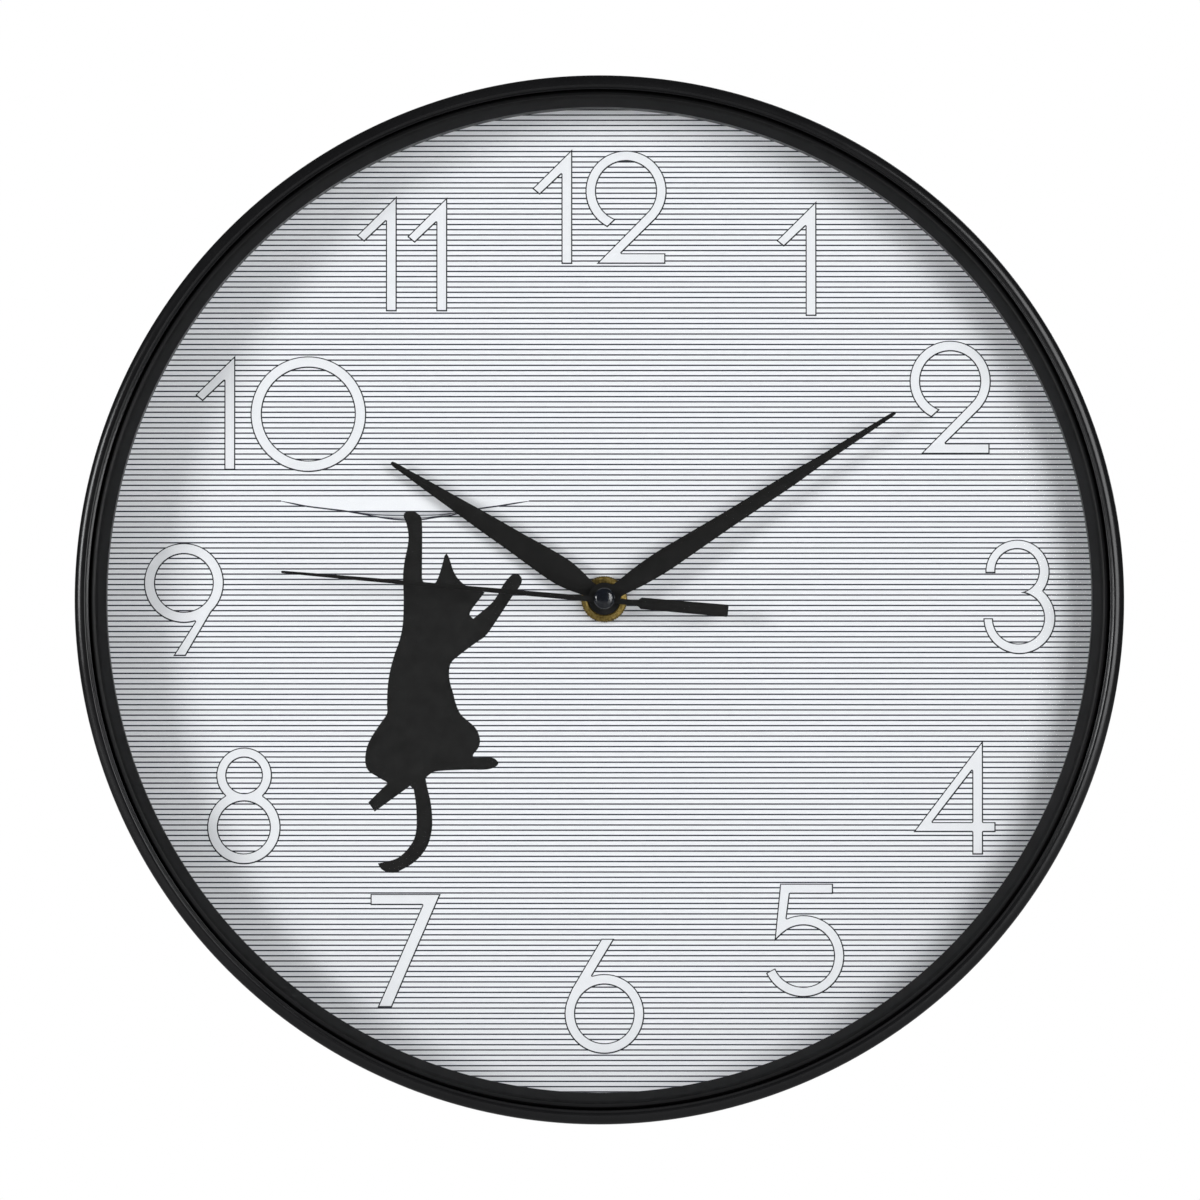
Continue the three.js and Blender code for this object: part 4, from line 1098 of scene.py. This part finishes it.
# setting knob
kf, kb = ybox("setting_knob")
knob_profile = [(0.0, -2.3), (4.3, -2.3), (4.75, -2.15), (5.0, -1.9), (5.0, -1.0), (4.75, -0.72), (4.3, -0.6), (3.3, -0.6), (3.0, -0.9), (1.2, -0.95), (0.9, -0.7), (0.0, -0.66)]
knob = piece("setting_knob_wheel", mesh_of("setting_knob_wheel", *lathe(knob_profile, 216, KX, KZ,
             lambda i, q: -(0.34 if 2 <= i <= 5 else 0.16 if i in (1, 6) else 0.0) * (0.5 - 0.5 * math.cos(18 * q)))), SATIN, "setting", ("setting_knob",))
carve(knob, [slab([[(KX - 0.3, KZ + 1.5), (KX + 0.3, KZ + 1.5), (KX + 0.3, KZ + 4.4), (KX - 0.3, KZ + 4.4)]], -1.15, 0)])
piece("setting_arbor", mesh_of("setting_arbor", *lathe(fillet([(0.0, -15.7), (0.8, -15.7), (0.8, -2.31), (0.0, -2.31)], [0, 0.15, 0, 0], 2), 40, KX, KZ)), SATIN, "setting")

# battery cell
BX, BY, BZ = AX, -8.6, AZ - 20.6


def cell(profile, n=96):
    """Turned about the x axis of the cell; profile is (r, x)."""
    v, f = lathe([(r, x) for r, x in profile], n)
    return [(BX + y, BY + x, BZ + z) for x, y, z in v], f


piece("battery_jacket", mesh_of("battery_jacket", *cell(fillet([(0, -24.95), (6.1, -24.95), (6.55, -25.0), (7.1, -24.4), (7.1, 8.6), (0, 8.6)], [0, 0, 0.2, 0.4, 0, 0], 3))),
      JACKET, "battery", ("battery",))
piece("battery_jacket_band", mesh_of("battery_jacket_band", *cell(fillet([(0, 8.62), (7.1, 8.62), (7.1, 23.4), (6.6, 23.95), (5.9, 23.9), (0, 23.9)], [0, 0, 0.5, 0.2, 0, 0], 3))),
      SILVER, "battery")
piece("battery_terminals", mesh_of("battery_terminals", *joined([
    cell(fillet([(0, 23.5), (5.4, 23.5), (5.4, 23.98), (2.9, 24.05), (2.7, 25.05), (2.3, 25.2), (0, 25.2)], [0, 0, 0.15, 0.2, 0.2, 0.1, 0], 3)),
    cell(fillet([(0, -25.2), (4.9, -25.2), (5.5, -25.05), (5.6, -24.6), (0, -24.6)], [0, 0.1, 0.15, 0, 0], 3))]), weld=False), SPRING, "battery")

# ------------------------------------------------------------------ CAD nodes that stay, in their own finishes
KEPT = {
    "battery_contact_neg": SPRING, "battery_contact_pos": SPRING, "coil_bobbin": NATURAL, "coil_winding": COPPER, "coil_core": STEEL,
    "stator": STEEL, "circuit_board": GREEN, "chip_blob": RESIN, "quartz_crystal": SPRING, "middle_plate": NATURAL,
    "train_bridge": NATURAL, "rotor_magnet": MAGNET, "rotor_pinion": NATURAL, "fifth_wheel": NATURAL, "second_wheel": NATURAL,
    "third_wheel": NATURAL, "center_wheel": NATURAL, "minute_pipe": BRASS, "minute_wheel": NATURAL, "hour_wheel": NATURAL,
}
for name, material in KEPT.items():
    o = NODES[name]
    if o.material_slots:
        for s in o.material_slots:
            s.link = "OBJECT"
            s.material = material
    else:
        o.data.materials.append(material)

# ------------------------------------------------------------------ floor, light, camera
def mm(x, y, z):
    return Vector(to_row((x, y, z)))


floor_me = bpy.data.meshes.new("floor")
fz = CZ_M - 0.36
floor_me.from_pydata([(-4, -4, fz), (4, -4, fz), (4, 4, fz), (-4, 4, fz)], [], [(0, 1, 2, 3)])
floor = bpy.data.objects.new("floor", floor_me)
bpy.context.scene.collection.objects.link(floor)
floor_me.materials.append(surface("floor_pale", (0.80, 0.80, 0.80), (0.83, 0.83, 0.83), 0.8, tone_scale=3, bumps=()))


def area_light(name, pos, target, size, size_y, watts, color=(1, 1, 1)):
    d = bpy.data.lights.new(name, "AREA")
    d.shape = "RECTANGLE"
    d.size, d.size_y = size, size_y
    d.energy = watts
    d.color = color
    o = bpy.data.objects.new(name, d)
    bpy.context.scene.collection.objects.link(o)
    o.location = mm(*pos)
    o.rotation_mode = "QUATERNION"
    o.rotation_quaternion = (mm(*target) - o.location).to_track_quat("-Z", "Y")
    o.visible_camera = False
    return o


area_light("soft_left", (-1620, -1400, 290), (0, -20, 0), 0.5, 0.65, 23, (0.985, 0.99, 1.0))
area_light("soft_right", (1180, -2120, 370), (0, -20, 0), 1.0, 1.35, 37, (0.985, 0.99, 1.0))
area_light("soft_low", (-1100, -1400, -760), (0, -20, 0), 1.6, 1.2, 5, (0.985, 0.99, 1.0))
area_light("soft_back", (1000, 1500, 900), (0, -20, 0), 1.4, 1.4, 22, (0.99, 0.995, 1.0))

world = bpy.data.worlds.new("studio")
bpy.context.scene.world = world
world.use_nodes = True
wt = world.node_tree
wt.nodes.clear()
w_out = wt.nodes.new("ShaderNodeOutputWorld")
w_mix = wt.nodes.new("ShaderNodeMixShader")
w_path = wt.nodes.new("ShaderNodeLightPath")
w_dim = wt.nodes.new("ShaderNodeBackground")
w_white = wt.nodes.new("ShaderNodeBackground")
w_dim.inputs[0].default_value = (0.97, 0.98, 1.0, 1)
w_dim.inputs[1].default_value = 0.13
w_white.inputs[0].default_value = (1, 1, 1, 1)
w_white.inputs[1].default_value = 1.0
wt.links.new(w_path.outputs["Is Camera Ray"], w_mix.inputs[0])
wt.links.new(w_dim.outputs[0], w_mix.inputs[1])
wt.links.new(w_white.outputs[0], w_mix.inputs[2])
wt.links.new(w_mix.outputs[0], w_out.inputs[0])

cam_data = bpy.data.cameras.new("camera")
cam = bpy.data.objects.new("camera", cam_data)
bpy.context.scene.collection.objects.link(cam)
cam_data.sensor_width = 36
cam_data.lens = 262.0
cam_data.clip_start, cam_data.clip_end = 0.05, 50
target = mm(0.17, -34.8, -0.14)
az, el, dist = 0.0, math.radians(-1.3), 2.5
back = Vector((math.sin(az) * math.cos(el), -math.cos(az) * math.cos(el), math.sin(el)))
cam.location = target + back * dist
cam.rotation_mode = "QUATERNION"
cam.rotation_quaternion = (-back).to_track_quat("-Z", "Y")
bpy.context.scene.camera = cam
bpy.context.scene.view_settings.view_transform = "Standard"
bpy.context.scene.view_settings.look = "None"
